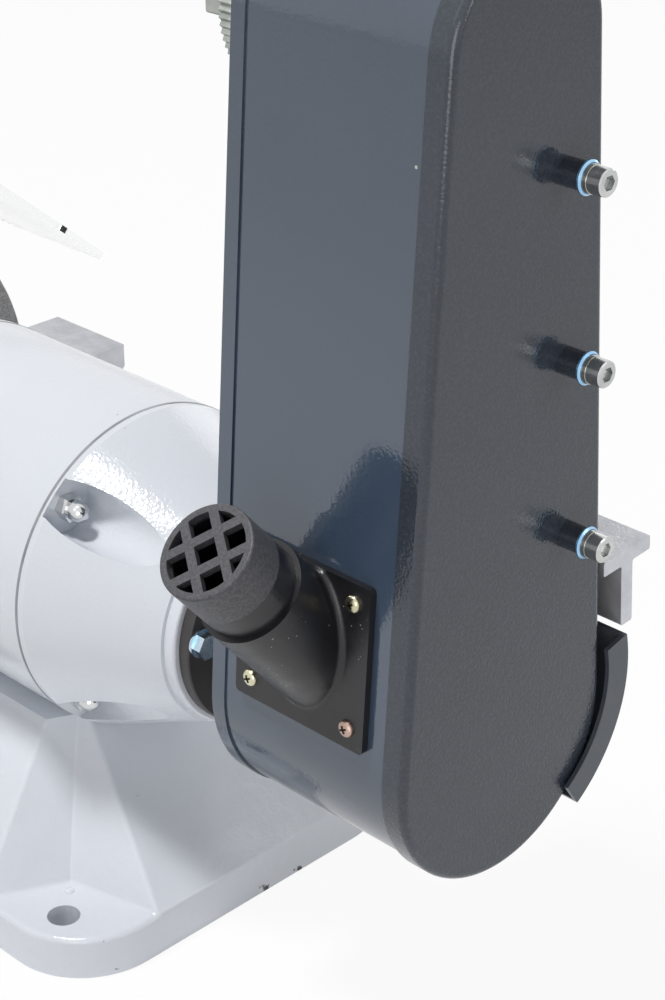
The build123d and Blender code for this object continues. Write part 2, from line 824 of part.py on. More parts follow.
# Nose bolts: hex bolts with washers, on the clamp ring and inside the wheel hood
hood_inner_x = nose_x + arm_plate_thickness


def hex_bolt(x, side, y, z, length, radius, flats, height):
    """Hex bolt with a washer that bears at x; its head points to side."""
    with BuildPart() as bolt:
        extrude(ring(x, washer_radius * radius / screw_radius, y=y, z=z), amount=side * washer_thickness)
        extrude(hexagon(x + side * washer_thickness, flats, y, z), amount=side * height)
        extrude(ring(x, radius, y=y, z=z), amount=-side * length)
    return bolt.part


with BuildPart() as nose_bolts:
    for y, z in nose_points:
        length = ring_thickness + nose_bolt_depth
        add(hex_bolt(ring_outer_x, -1, y, z, length, ring_bolt_radius, hex_flats, hex_height))
        length = arm_plate_thickness + nose_bolt_depth
        add(hex_bolt(hood_inner_x, 1, y, z, length, ring_bolt_radius, hex_flats, hex_height))
write(nose_bolts, "nose_bolts")

# Arm plate: pressed pan that carries the neck, the rest and the tension bracket
pan_sheet = 0.8
pan_flange = 6.8
pan_x = arm_inner_x - arm_plate_thickness
rest_bolt_height = (rest_arm_low + rest_height - rest_thickness) / 2
rest_bolts_at = [front_point(rest_bolt_height, distance) for distance in (rest_bolt_near, rest_bolt_far)]
guard_pivot = (guard_pivot_y, guard_pivot_z)
bracket_top = arm_spacing - block_size / 2 - spring_length
bracket_low = bracket_top - 36
bracket_screw_radius = 2.0
bracket_screws_at = [(0, bracket_low + 8), (0, bracket_low + 22)]
with BuildPart() as arm_plate:
    outer = arm_outline(arm_inner_x, band_low_radius + pan_sheet, band_top_radius + pan_sheet)
    extrude(outer, amount=-pan_flange)
    inner = arm_outline(pan_x, band_low_radius + fit_gap, band_top_radius + fit_gap)
    extrude(inner, amount=-pan_flange, mode=Mode.SUBTRACT)
    extrude(front_opening(pan_x), amount=-pan_flange, mode=Mode.SUBTRACT)
    extrude(ring(arm_inner_x, neck_bore_radius), amount=-pan_flange, mode=Mode.SUBTRACT)
    axle_slot = slot(
        arm_inner_x,
        axle_radius + running_gap,
        (0, arm_spacing - tension_travel - moving_gap),
        (0, arm_spacing + moving_gap),
    )
    extrude(axle_slot, amount=-pan_flange, mode=Mode.SUBTRACT)
    for y, z in rest_bolts_at + [guard_pivot]:
        hole = ring(arm_inner_x, screw_radius + fit_gap, y=y, z=z)
        extrude(hole, amount=-pan_flange, mode=Mode.SUBTRACT)
    for y, z in neck_screw_points:
        hole = ring(arm_inner_x, neck_screw_radius + fit_gap, y=y, z=z)
        extrude(hole, amount=-pan_flange, mode=Mode.SUBTRACT)
    for y, z in bracket_screws_at:
        hole = ring(arm_inner_x, bracket_screw_radius + fit_gap, y=y, z=z)
        extrude(hole, amount=-pan_flange, mode=Mode.SUBTRACT)
write(arm_plate, "arm_plate")

# Housing band: bent sheet round the back and both ends of the belt
cover_inner_x = arm_outer_x + cover_plate
band_width = pan_x - cover_inner_x
port_y = band_low_radius * taper_cos - port_height * taper_sin
port_z = band_low_radius * taper_sin + port_height * taper_cos
port_face = Plane(
    origin=(port_x, port_y, shaft_height + port_z), x_dir=(-1, 0, 0), z_dir=(0, taper_cos, taper_sin)
)
dust_hole_width = 40.0
dust_hole_height = 50.0
port_screw_radius = 1.95
with BuildPart() as housing_band:
    extrude(arm_outline(pan_x, band_low_radius, band_top_radius), amount=-band_width)
    inner = arm_outline(pan_x, band_low_radius - sheet, band_top_radius - sheet)
    extrude(inner, amount=-band_width, mode=Mode.SUBTRACT)
    extrude(front_opening(pan_x), amount=-band_width, mode=Mode.SUBTRACT)
    with BuildSketch(port_face):
        Rectangle(dust_hole_width, dust_hole_height)
        with GridLocations(port_screw_pitch, port_screw_pitch, 2, 2):
            Circle(port_screw_radius + fit_gap)
    extrude(amount=2 * sheet, both=True, mode=Mode.SUBTRACT)
write(housing_band, "housing_band")

# Side cover: shallow lid with a rolled edge and three screw bosses
boss_heights = [boss_first + boss_pitch * i for i in range(boss_count)]
boss_points = [front_point(height, cover_low_radius - boss_inset) for height in boss_heights]
boss_end_x = arm_outer_x - boss_length
with BuildPart() as side_cover:
    extrude(arm_outline(arm_outer_x, cover_low_radius, cover_top_radius), amount=cover_flange)
    outer_face = side_cover.faces().sort_by(Axis.X)[0]
    fillet(outer_face.edges(), cover_round)
    inner = arm_outline(cover_inner_x, band_low_radius + fit_gap, band_top_radius + fit_gap)
    extrude(inner, amount=cover_flange, mode=Mode.SUBTRACT)
    extrude(front_opening(cover_inner_x), amount=cover_flange, mode=Mode.SUBTRACT)
    for y, z in boss_points:
        extrude(ring(cover_inner_x, boss_radius, y=y, z=z), amount=boss_end_x - cover_inner_x)
    for y, z in boss_points:
        hole = ring(cover_inner_x, screw_radius + 2 * fit_gap, y=y, z=z)
        extrude(hole, amount=boss_end_x - cover_inner_x, mode=Mode.SUBTRACT)
write(side_cover, "side_cover")

# Cover posts: stand on the arm plate, pass the platen and take the cover screws
thread_depth = 20.0
with BuildPart() as cover_posts:
    for y, z in boss_points:
        extrude(ring(pan_x, post_radius, y=y, z=z), amount=-band_width)
        blind = ring(cover_inner_x, screw_radius + fit_gap, y=y, z=z)
        extrude(blind, amount=thread_depth, mode=Mode.SUBTRACT)
write(cover_posts, "cover_posts")

with BuildPart() as cover_washers:
    for y, z in boss_points:
        bore = screw_radius + 2 * fit_gap
        extrude(ring(boss_end_x, washer_radius, bore, y, z), amount=-washer_thickness)
        spring_washer = ring(boss_end_x - washer_thickness, spring_washer_radius, bore, y, z)
        extrude(spring_washer, amount=-spring_washer_thickness)
write(cover_washers, "cover_washers")

head_x = boss_end_x - washer_thickness - spring_washer_thickness
with BuildPart() as cover_screws:
    for y, z in boss_points:
        extrude(ring(head_x, screw_head_radius, y=y, z=z), amount=-screw_head_height)
    chamfer(cover_screws.edges().group_by(Axis.X)[0], 0.5)
    for y, z in boss_points:
        extrude(ring(head_x, screw_radius, y=y, z=z), amount=cover_inner_x + thread_depth - 3 - head_x)
        socket = hexagon(head_x - screw_head_height, socket_flats, y, z)
        extrude(socket, amount=screw_head_height / 2, mode=Mode.SUBTRACT)
write(cover_screws, "cover_screws")

# Platen: bent plate behind the belt's front run, on two webs held by the posts
nose_distance = cover_low_radius + platen_proud - belt_thickness - moving_gap - platen_nose
platen_back = nose_distance + platen_nose - platen_sheet
platen_noses = [front_point(platen_low, nose_distance), front_point(platen_high, nose_distance)]
platen_end_x = arm_middle_x - platen_width / 2
web_sheet = 3.0
web_inset = 6.0
web_low = platen_low + 22
web_near = cover_low_radius - boss_inset - 1.5 * post_radius
with BuildPart() as platen:
    outer = loop_around(platen_end_x, [(*point, platen_nose) for point in platen_noses])
    extrude(outer, amount=platen_width)
    inner = loop_around(platen_end_x, [(*point, platen_nose - platen_sheet) for point in platen_noses])
    extrude(inner, amount=platen_width, mode=Mode.SUBTRACT)
    rear = front_patch(platen_end_x, 0, arm_spacing, 0, nose_distance)
    extrude(rear, amount=platen_width, mode=Mode.SUBTRACT)
    for x in (platen_end_x + web_inset, platen_end_x + platen_width - web_inset - web_sheet):
        extrude(front_patch(x, web_low, platen_high, web_near, platen_back + 0.5), amount=web_sheet)
    for y, z in boss_points:
        extrude(
            ring(platen_end_x, post_radius + fit_gap, y=y, z=z), amount=platen_width, mode=Mode.SUBTRACT
        )
write(platen, "platen")

# Sanding belt: one loop round the drive wheel, the idler and the platen
belt_circles = [
    (0, 0, drive_radius + moving_gap),
    (0, arm_spacing, idler_radius + moving_gap),
    (*platen_noses[1], platen_nose + moving_gap),
    (*platen_noses[0], platen_nose + moving_gap),
]
belt_start_x = arm_middle_x - belt_width / 2
with BuildPart() as sanding_belt:
    outer = loop_around(belt_start_x, [(y, z, r + belt_thickness) for y, z, r in belt_circles])
    extrude(outer, amount=belt_width)
    extrude(loop_around(belt_start_x, belt_circles), amount=belt_width, mode=Mode.SUBTRACT)
write(sanding_belt, "sanding_belt")

# Idler wheel: crowned drum on two bearings
idler_edge = idler_radius - idler_crown
idler_bore = 2 * axle_radius
with BuildPart() as idler_wheel:
    drum = turned(
        [
            (wheel_outer_x, idler_bore),
            (wheel_outer_x, idler_edge),
            (arm_middle_x, idler_radius),
            (wheel_inner_x, idler_edge),
            (wheel_inner_x, idler_bore),
        ],
        arm_spacing,
    )
    revolve(drum, axis=idler_line)
    for x, inward in ((wheel_outer_x, 1), (wheel_inner_x, -1)):
        seat = ring(x, idler_bearing_radius, z=arm_spacing)
        extrude(seat, amount=inward * idler_bearing_width, mode=Mode.SUBTRACT)
write(idler_wheel, "idler_wheel")

with BuildPart() as idler_bearings:
    for x, inward in ((wheel_outer_x, 1), (wheel_inner_x, -1)):
        race = ring(x, idler_bearing_radius - fit_gap, axle_radius + running_gap, z=arm_spacing)
        extrude(race, amount=inward * idler_bearing_width)
        seal = ring(x, idler_bearing_radius - 3, axle_radius + 2, z=arm_spacing)
        extrude(seal, amount=inward * 0.8, mode=Mode.SUBTRACT)
write(idler_bearings, "idler_bearings")

# Idler axle: headed at the cover, shouldered at the plate, ends in the tension block
axle_head_x = wheel_outer_x - end_play
axle_shoulder_x = wheel_inner_x + end_play
axle_start_x = axle_head_x - axle_head
tracking_start_x = arm_inner_x + moving_gap
tracking_end_x = tracking_start_x + tracking_width
block_start_x = tracking_end_x + moving_gap
with BuildPart() as idler_axle:
    extrude(ring(axle_start_x, axle_radius, z=arm_spacing), amount=block_end_x - 1 - axle_start_x)
    extrude(ring(axle_start_x, axle_radius + 2.5, z=arm_spacing), amount=axle_head_x - axle_start_x)
    extrude(ring(axle_shoulder_x, axle_radius + 2, z=arm_spacing), amount=axle_shoulder)
write(idler_axle, "idler_axle")

with BuildPart() as tension_block:
    with BuildSketch(shaft_plane(block_start_x, z=arm_spacing)):
        RectangleRounded(block_size, block_size, 1.5)
    extrude(amount=block_end_x - block_start_x)
    chamfer(tension_block.faces().sort_by(Axis.X)[-1].edges(), 0.8)
    bore = ring(block_start_x, axle_radius + fit_gap, z=arm_spacing)
    extrude(bore, amount=block_end_x - block_start_x, mode=Mode.SUBTRACT)
write(tension_block, "tension_block")

# Tracking wheel: thin knurled disc turned by hand
tooth_angle = 360 / tracking_teeth
with BuildPart() as tracking_wheel:
    with BuildSketch(shaft_plane(tracking_start_x, z=arm_spacing)):
        with BuildLine():
            rim_points = []
            for i in range(tracking_teeth):
                rim_points.append(polar(tracking_radius, tooth_angle * i))
                rim_points.append(polar(tracking_radius - tracking_tooth, tooth_angle * (i + 0.5)))
            Polyline(*rim_points, close=True)
        make_face()
        Circle(axle_radius + running_gap, mode=Mode.SUBTRACT)
    extrude(amount=tracking_width)
write(tracking_wheel, "tracking_wheel")

# Tension spring on its bracket, pushing the block up
spring_x = (block_start_x + block_end_x) / 2 - 3
spring_place = Plane(origin=(spring_x, 0, shaft_height + bracket_top))
with BuildPart() as tension_spring:
    with BuildLine(spring_place.offset(spring_wire)):
        coil_length = spring_length - 2 * spring_wire
        coil = Helix(coil_length / spring_turns, coil_length, spring_radius)
    with BuildSketch(Plane(origin=coil @ 0, z_dir=coil % 0)):
        RegularPolygon(spring_wire, 8)
    sweep(path=coil)
write(tension_spring, "tension_spring")

bracket_end_x = spring_x + spring_radius + 3
with BuildPart() as spring_bracket:
    with Locations((arm_inner_x, 0, shaft_height + bracket_low)):
        upright = bracket_top - bracket_low
        Box(bracket_sheet, bracket_width, upright, align=(Align.MIN, Align.CENTER, Align.MIN))
    with Locations((arm_inner_x, 0, shaft_height + bracket_top)):
        shelf = bracket_end_x - arm_inner_x
        Box(shelf, bracket_width, bracket_sheet, align=(Align.MIN, Align.CENTER, Align.MAX))
    with Locations((spring_x, 0, shaft_height + bracket_top)):
        Cylinder(0.4 * spring_radius, 0.6 * spring_length, align=(Align.CENTER, Align.CENTER, Align.MIN))
    for y, z in bracket_screws_at:
        hole = ring(arm_inner_x, bracket_screw_radius + fit_gap, y=y, z=z)
        extrude(hole, amount=bracket_sheet, mode=Mode.SUBTRACT)
write(spring_bracket, "spring_bracket")

# Plate screws: hold the neck and the spring bracket to the arm plate
with BuildPart() as plate_screws:
    for y, z in neck_screw_points:
        shank = ring(arm_inner_x + neck_flange, neck_screw_radius, y=y, z=z)
        extrude(shank, amount=-neck_flange - arm_plate_thickness)
        extrude(ring(pan_x, 2 * neck_screw_radius, y=y, z=z), amount=-1.6 * neck_screw_radius)
    for y, z in bracket_screws_at:
        shank = ring(arm_inner_x + bracket_sheet, bracket_screw_radius, y=y, z=z)
        extrude(shank, amount=-bracket_sheet - arm_plate_thickness - 1)
        head = ring(arm_inner_x + bracket_sheet, 2 * bracket_screw_radius, y=y, z=z)
        extrude(head, amount=1.2 * bracket_screw_radius)
write(plate_screws, "plate_screws")

# Dust port: square flange with a tube that leans up and back
port_axis = taper + radians(port_lean)
port_tube = Plane(origin=port_face.origin, x_dir=(-1, 0, 0), z_dir=(0, cos(port_axis), sin(port_axis)))
cap_start = port_length - cap_face - cap_skirt
lip_radius = port_top_radius - 1.4
tube_bore = lip_radius - port_wall
behind = 1.5 * port_low_radius
with BuildPart() as dust_port:
    with BuildSketch(port_tube.offset(-behind)):
        Circle(port_low_radius)
    extrude(amount=behind + port_step)
    with BuildSketch(port_face):
        Rectangle(2 * port_plate, 2 * port_plate)
    extrude(amount=-2 * port_plate, mode=Mode.SUBTRACT)
    with BuildSketch(port_face):
        RectangleRounded(port_plate, port_plate, 2)
    extrude(amount=port_plate_thickness)
    foot = dust_port.edges().filter_by(GeomType.ELLIPSE)
    fillet(foot, port_plate_thickness * 0.8)
    with BuildSketch(port_tube.offset(port_step)):
        Circle(port_top_radius)
    extrude(amount=cap_start - port_step)
    with BuildSketch(port_tube.offset(cap_start)):
        Circle(lip_radius)
    extrude(amount=cap_skirt)
    with BuildSketch(port_tube.offset(-behind)):
        Circle(tube_bore)
    extrude(amount=behind + port_length, mode=Mode.SUBTRACT)
    with BuildSketch(port_face):
        with GridLocations(port_screw_pitch, port_screw_pitch, 2, 2):
            Circle(port_screw_radius + fit_gap)
    extrude(amount=port_plate_thickness, mode=Mode.SUBTRACT)
write(dust_port, "dust_port")

# Dust cap: skirted lid with a square grille, pushed on the tube's lip
grille_radius = lip_radius - 1.5
with BuildPart() as dust_cap:
    with BuildSketch(port_tube.offset(cap_start)):
        Circle(port_top_radius)
    extrude(amount=cap_skirt + cap_face)
    fillet(dust_cap.faces().sort_by(Axis.Z)[-1].edges().group_by(SortBy.RADIUS)[-1], 0.8)
    with BuildSketch(port_tube.offset(cap_start)):
        Circle(lip_radius + fit_gap)
    extrude(amount=cap_skirt, mode=Mode.SUBTRACT)
    with BuildSketch(port_tube.offset(cap_start + cap_skirt)):
        with Locations(Location((0, 0, 0), (0, 0, grille_turn))):
            with GridLocations(grille_pitch, grille_pitch, 3, 3):
                Rectangle(grille_hole, grille_hole)
        Circle(grille_radius, mode=Mode.INTERSECT)
    extrude(amount=cap_face, mode=Mode.SUBTRACT)
write(dust_cap, "dust_cap")

# Port screws: cross-head pan screws at the flange's corners
pan_head_radius = 2 * port_screw_radius
pan_head_height = 2.4
port_front = port_face.offset(port_plate_thickness)
with BuildPart() as port_screws:
    with BuildSketch(port_front):
        with GridLocations(port_screw_pitch, port_screw_pitch, 2, 2):
            Circle(pan_head_radius)
    extrude(amount=pan_head_height)
    tops = port_screws.faces().filter_by(port_front).group_by(Axis(port_front.origin, port_front.z_dir))[-1]
    fillet(tops.edges(), 0.4 * pan_head_height)
    with BuildSketch(port_front):
        with GridLocations(port_screw_pitch, port_screw_pitch, 2, 2):
            Circle(port_screw_radius)
    extrude(amount=-port_plate_thickness - 2 * sheet)
    with BuildSketch(port_front.offset(pan_head_height)):
        with GridLocations(port_screw_pitch, port_screw_pitch, 2, 2):
            Rectangle(0.9 * pan_head_radius, 0.8, rotation=25)
            Rectangle(0.8, 0.9 * pan_head_radius, rotation=25)
    extrude(amount=-0.5 * pan_head_height, mode=Mode.SUBTRACT)
write(port_screws, "port_screws")

# Belt rest: cast tee bar in front of the belt, on a slotted arm
rest_near = cover_low_radius + rest_gap
rest_far = rest_near + rest_flange
rest_middle = (rest_near + rest_far) / 2
rest_under = rest_height - rest_thickness
rest_arm_x = arm_inner_x + fit_gap
rest_outer_x = rest_arm_x + rest_arm_thickness
rest_length = rest_outer_x - rest_end_x
rest_slot = rest_bolt_radius + moving_gap
with BuildPart() as belt_rest:
    extrude(front_patch(rest_end_x, rest_under, rest_height, rest_near, rest_far), amount=rest_length)
    leg_low = rest_under - rest_leg_height
    leg_near = rest_middle - rest_leg / 2
    leg = front_patch(rest_end_x, leg_low, rest_height, leg_near, leg_near + rest_leg)
    extrude(leg, amount=rest_length)
    fillet(belt_rest.edges().filter_by(Axis.X), 1)
    arm = front_patch(rest_arm_x, rest_arm_low, rest_height - 2, rest_arm_end, rest_far - 4)
    extrude(arm, amount=rest_arm_thickness)
    path = slot(
        rest_arm_x,
        rest_slot,
        front_point(rest_bolt_height, rest_bolt_far + moving_gap),
        front_point(rest_bolt_height, rest_bolt_near - rest_travel - moving_gap),
    )
    extrude(path, amount=rest_arm_thickness, mode=Mode.SUBTRACT)
write(belt_rest, "belt_rest")

# Arm clamp screws: two hex bolts for the rest and a shouldered pivot for the spark guard
guard_wall_x = arm_inner_x + 2 * fit_gap
pivot_head_x = guard_wall_x + guard_sheet + fit_gap
with BuildPart() as arm_clamp_screws:
    for y, z in rest_bolts_at:
        length = rest_arm_thickness + arm_plate_thickness + 2 * fit_gap
        add(hex_bolt(rest_outer_x + fit_gap, 1, y, z, length, rest_bolt_radius, hex_flats, hex_height))
    y, z = guard_pivot
    extrude(ring(pan_x, screw_radius, y=y, z=z), amount=pivot_head_x - pan_x)
    extrude(ring(pivot_head_x, 1.8 * screw_radius, y=y, z=z), amount=screw_radius)
write(arm_clamp_screws, "arm_clamp_screws")


def guard_sector(x, outer, inner):
    """Part of a ring between the spark guard's two ends."""
    sweep_angle = guard_end - guard_start
    with BuildSketch(shaft_plane(x, guard_centre_y, guard_centre_z)) as face:
        with BuildLine():
            CenterArc((0, 0), outer, guard_start, sweep_angle)
            CenterArc((0, 0), inner, guard_start, sweep_angle)
            Line(polar(outer, guard_start), polar(inner, guard_start))
            Line(polar(outer, guard_end), polar(inner, guard_end))
        make_face()
    return face.sketch


# Spark guard: sheet channel under the rest that swings on one ear
guard_start_x = arm_outer_x - cover_plate * 0.7 - guard_sheet
guard_width = guard_wall_x + guard_sheet - guard_start_x
ear_radius = guard_ear / 2
ear_circles = [(*guard_pivot, guard_ear)]
for angle in (guard_end - 21, guard_end - 2):
    y, z = polar(guard_edge + 0.9 * ear_radius, angle)
    ear_circles.append((guard_centre_y + y, guard_centre_z + z, ear_radius))
with BuildPart() as spark_guard:
    extrude(guard_sector(guard_start_x, guard_radius, guard_radius - guard_sheet), amount=guard_width)
    extrude(guard_sector(guard_start_x, guard_radius, guard_edge), amount=guard_sheet)
    extrude(guard_sector(guard_wall_x, guard_radius, guard_edge), amount=guard_sheet)
    extrude(loop_around(guard_wall_x, ear_circles), amount=guard_sheet)
    hole = ring(guard_wall_x, screw_radius + running_gap, y=guard_pivot_y, z=guard_pivot_z)
    extrude(hole, amount=guard_sheet, mode=Mode.SUBTRACT)
write(spark_guard, "spark_guard")

# Wheel hood: round guard bolted to the right nose, open at the front
wheel_middle_x = wheel_start_x + wheel_thickness / 2
hood_screw_radius = 2.0
ear_depth = 10.0
ear_points = [polar(hood_ear_circle, angle) for angle in hood_ear_angles]
table_bolt_z = -table_bolt_drop
table_bolt_y = table_bolt_inset - hood_radius
table_bolts_at = [(table_bolt_y + table_bolt_pitch, table_bolt_z), (table_bolt_y, table_bolt_z)]
lip_pad_width = wheel_thickness - 2
lip_pad_length = 26.0
lip_pad_thickness = 3.0
arrester_screw_along = -lip_pad_length / 2
shield_pivot = polar(hood_radius + 12, hood_open_top - 18)
lug_foot = polar(hood_radius - 2, hood_open_top - 18)
lug_width = 6.0
lug_radius = 7.0


def rim_point(radial, along):
    """Offsets of a point near the hood's upper lip: out from the shaft and along the rim."""
    y, z = polar(radial, hood_open_top)
    across_y, across_z = polar(along, hood_open_top + 90)
    return y + across_y, z + across_z


def rim_patch(x, low, high, start, end):
    """Rectangle square to the hood's rim at its upper lip."""
    with BuildSketch(shaft_plane(x)) as face:
        with BuildLine():
            Polyline(
                rim_point(low, start),
                rim_point(high, start),
                rim_point(high, end),
                rim_point(low, end),
                close=True,
            )
        make_face()
    return face.sketch


def hood_gap(x):
    """Sector of the hood that stays open in front of the wheel."""
    reach = 2 * hood_radius
    with BuildSketch(shaft_plane(x)) as face:
        with BuildLine():
            CenterArc((0, 0), hood_open_radius, hood_open_top, hood_open_low - hood_open_top)
            Polyline(
                polar(hood_open_radius, hood_open_top),
                polar(reach, hood_open_top),
                polar(reach, (hood_open_top + hood_open_low) / 2),
                polar(reach, hood_open_low),
                polar(hood_open_radius, hood_open_low),
            )
        make_face()
    return face.sketch


lip_origin = rim_point(hood_radius, arrester_screw_along)
lip_plane = Plane(
    origin=(wheel_middle_x, lip_origin[0], shaft_height + lip_origin[1]),
    x_dir=(1, 0, 0),
    z_dir=(0, *polar(1, hood_open_top)),
)
with BuildPart() as wheel_hood:
    extrude(ring(nose_x, hood_radius), amount=hood_depth)
    for y, z in ear_points:
        extrude(ring(hood_end_x - ear_depth, hood_ear_radius, y=y, z=z), amount=ear_depth)
    pad_start_x = wheel_middle_x - lip_pad_width / 2
    pad = rim_patch(pad_start_x, hood_radius - lip_pad_thickness, hood_radius, -lip_pad_length, -1)
    extrude(pad, amount=lip_pad_width)
    lug = slot(wheel_middle_x - lug_width / 2, lug_radius, shield_pivot, lug_foot)
    extrude(lug, amount=lug_width)
    extrude(ring(hood_inner_x, hood_radius - hood_sheet), amount=hood_depth, mode=Mode.SUBTRACT)
    extrude(hood_gap(nose_x), amount=hood_depth, mode=Mode.SUBTRACT)
    extrude(ring(nose_x, hood_shaft_hole), amount=arm_plate_thickness, mode=Mode.SUBTRACT)
    for y, z in nose_points:
        hole = ring(nose_x, ring_bolt_radius + 2 * fit_gap, y=y, z=z)
        extrude(hole, amount=arm_plate_thickness, mode=Mode.SUBTRACT)
    for y, z in table_bolts_at:
        hole = ring(nose_x, table_bolt_radius + fit_gap, y=y, z=z)
        extrude(hole, amount=arm_plate_thickness, mode=Mode.SUBTRACT)
    for y, z in ear_points:
        hole = ring(hood_end_x - ear_depth, hood_screw_radius + fit_gap, y=y, z=z)
        extrude(hole, amount=ear_depth, mode=Mode.SUBTRACT)
    y, z = shield_pivot
    hole = ring(wheel_middle_x - lug_width / 2, shield_pin_radius + fit_gap, y=y, z=z)
    extrude(hole, amount=lug_width, mode=Mode.SUBTRACT)
    with BuildSketch(lip_plane):
        Circle(hood_screw_radius + fit_gap)
    extrude(amount=-3 * hood_sheet, mode=Mode.SUBTRACT)
write(wheel_hood, "wheel_hood")

with BuildPart() as hood_cover:
    extrude(ring(hood_end_x, hood_radius), amount=hood_sheet)
    for y, z in ear_points:
        extrude(ring(hood_end_x, hood_ear_radius, y=y, z=z), amount=hood_sheet)
    extrude(hood_gap(hood_end_x), amount=hood_sheet, mode=Mode.SUBTRACT)
    for y, z in ear_points:
        hole = ring(hood_end_x, hood_screw_radius + fit_gap, y=y, z=z)
        extrude(hole, amount=hood_sheet, mode=Mode.SUBTRACT)
write(hood_cover, "hood_cover")

# Hood screws: three through the cover's ears, one through the spark arrester
arrester_sheet = 2.0
arrester_top = fit_gap + arrester_sheet
with BuildPart() as hood_screws:
    for y, z in ear_points:
        head = ring(hood_end_x + hood_sheet, 1.9 * hood_screw_radius, y=y, z=z)
        extrude(head, amount=1.2 * hood_screw_radius)
        shank = ring(hood_end_x + hood_sheet, hood_screw_radius, y=y, z=z)
        extrude(shank, amount=1 - ear_depth)
    with BuildSketch(lip_plane.offset(arrester_top + fit_gap)):
        Circle(2.4 * hood_screw_radius)
    extrude(amount=1.2 * hood_screw_radius)
    with BuildSketch(lip_plane.offset(arrester_top + fit_gap)):
        Circle(hood_screw_radius)
    extrude(amount=-arrester_top - hood_sheet)
write(hood_screws, "hood_screws")

# Spark arrester: angle plate on the hood's upper lip, slotted to follow the wheel
with BuildPart() as spark_arrester:
    start_x = wheel_middle_x - arrester_width / 2
    high = hood_radius + arrester_top
    lip_far = arrester_lip + arrester_sheet
    leg = rim_patch(start_x, hood_radius + fit_gap, high, 2 - lip_pad_length, lip_far)
    extrude(leg, amount=arrester_width)
    blade = rim_patch(start_x, wheel_radius + arrester_gap, high, arrester_lip, lip_far)
    extrude(blade, amount=arrester_width)
    with BuildSketch(lip_plane):
        with Locations((0, arrester_travel / 2)):
            SlotCenterToCenter(
                arrester_travel + 2 * moving_gap, 2 * (hood_screw_radius + moving_gap), rotation=90
            )
    extrude(amount=3 * arrester_sheet, mode=Mode.SUBTRACT)
write(spark_arrester, "spark_arrester")

# Grinding rest: small table before the wheel on a slotted arm
table_arm_x = nose_x - fit_gap - table_arm
table_near = -wheel_radius - table_gap
table_far = table_near - table_depth
table_end_x = wheel_end_x + 8
with BuildPart() as grinding_rest:
    with BuildSketch(shaft_plane(table_arm_x)):
        with BuildLine():
            Polyline(
                (table_far, 0),
                (table_near, 0),
                (table_bolts_at[0][0] + 22, table_bolt_z + 10),
                (table_bolts_at[0][0] + 22, table_bolt_z - 10),
                (table_near, table_bolt_z - 10),
                (table_far, -2 * table_thickness),
                close=True,
            )
        make_face()
    extrude(amount=table_arm)
    with BuildSketch(Plane.XY.offset(shaft_height)):
        with Locations(((table_arm_x + table_end_x) / 2, (table_near + table_far) / 2)):
            Rectangle(table_end_x - table_arm_x, table_depth)
    extrude(amount=-table_thickness)
    path = slot(
        table_arm_x,
        table_bolt_radius + moving_gap,
        (table_bolts_at[1][0] - moving_gap, table_bolt_z),
        (table_bolts_at[0][0] + table_travel + moving_gap, table_bolt_z),
    )
    extrude(path, amount=table_arm, mode=Mode.SUBTRACT)
write(grinding_rest, "grinding_rest")

with BuildPart() as grinding_rest_bolts:
    for y, z in table_bolts_at:
        length = table_arm + arm_plate_thickness + hex_height + 4 * fit_gap
        add(hex_bolt(table_arm_x - fit_gap, -1, y, z, length, table_bolt_radius, hex_flats, hex_height))
        extrude(hexagon(hood_inner_x, hex_flats, y, z), amount=hex_height)
write(grinding_rest_bolts, "grinding_rest_bolts")


def shield_point(along, above):
    """Offsets of a point on the eye shield, down along it and above its pivot."""
    along_y, along_z = polar(along, 180 + shield_lean)
    above_y, above_z = polar(above, 90 + shield_lean)
    return shield_pivot[0] + along_y + above_y, shield_pivot[1] + along_z + above_z


# Shield pin and arm: two cheeks on the hood's lug, with a strip the shield is riveted to
cheek_width = 6.0
cheek_inner = lug_width / 2 + moving_gap
cheek_outer = cheek_inner + cheek_width
pin_half = cheek_outer + moving_gap
strip_start = 12.0
strip_end = 30.0
strip_low = 5.0
strip_top = strip_low + 3
rivet_radius = 2.0
rivet_along = (strip_start + strip_end) / 2
rivet_x = 5.0
with BuildPart() as shield_pin:
    y, z = shield_pivot
    extrude(ring(wheel_middle_x - pin_half, shield_pin_radius, y=y, z=z), amount=2 * pin_half)
    for side in (-1, 1):
        head = ring(wheel_middle_x + side * pin_half, 1.5 * shield_pin_radius, y=y, z=z)
        extrude(head, amount=side * 2)
write(shield_pin, "shield_pin")

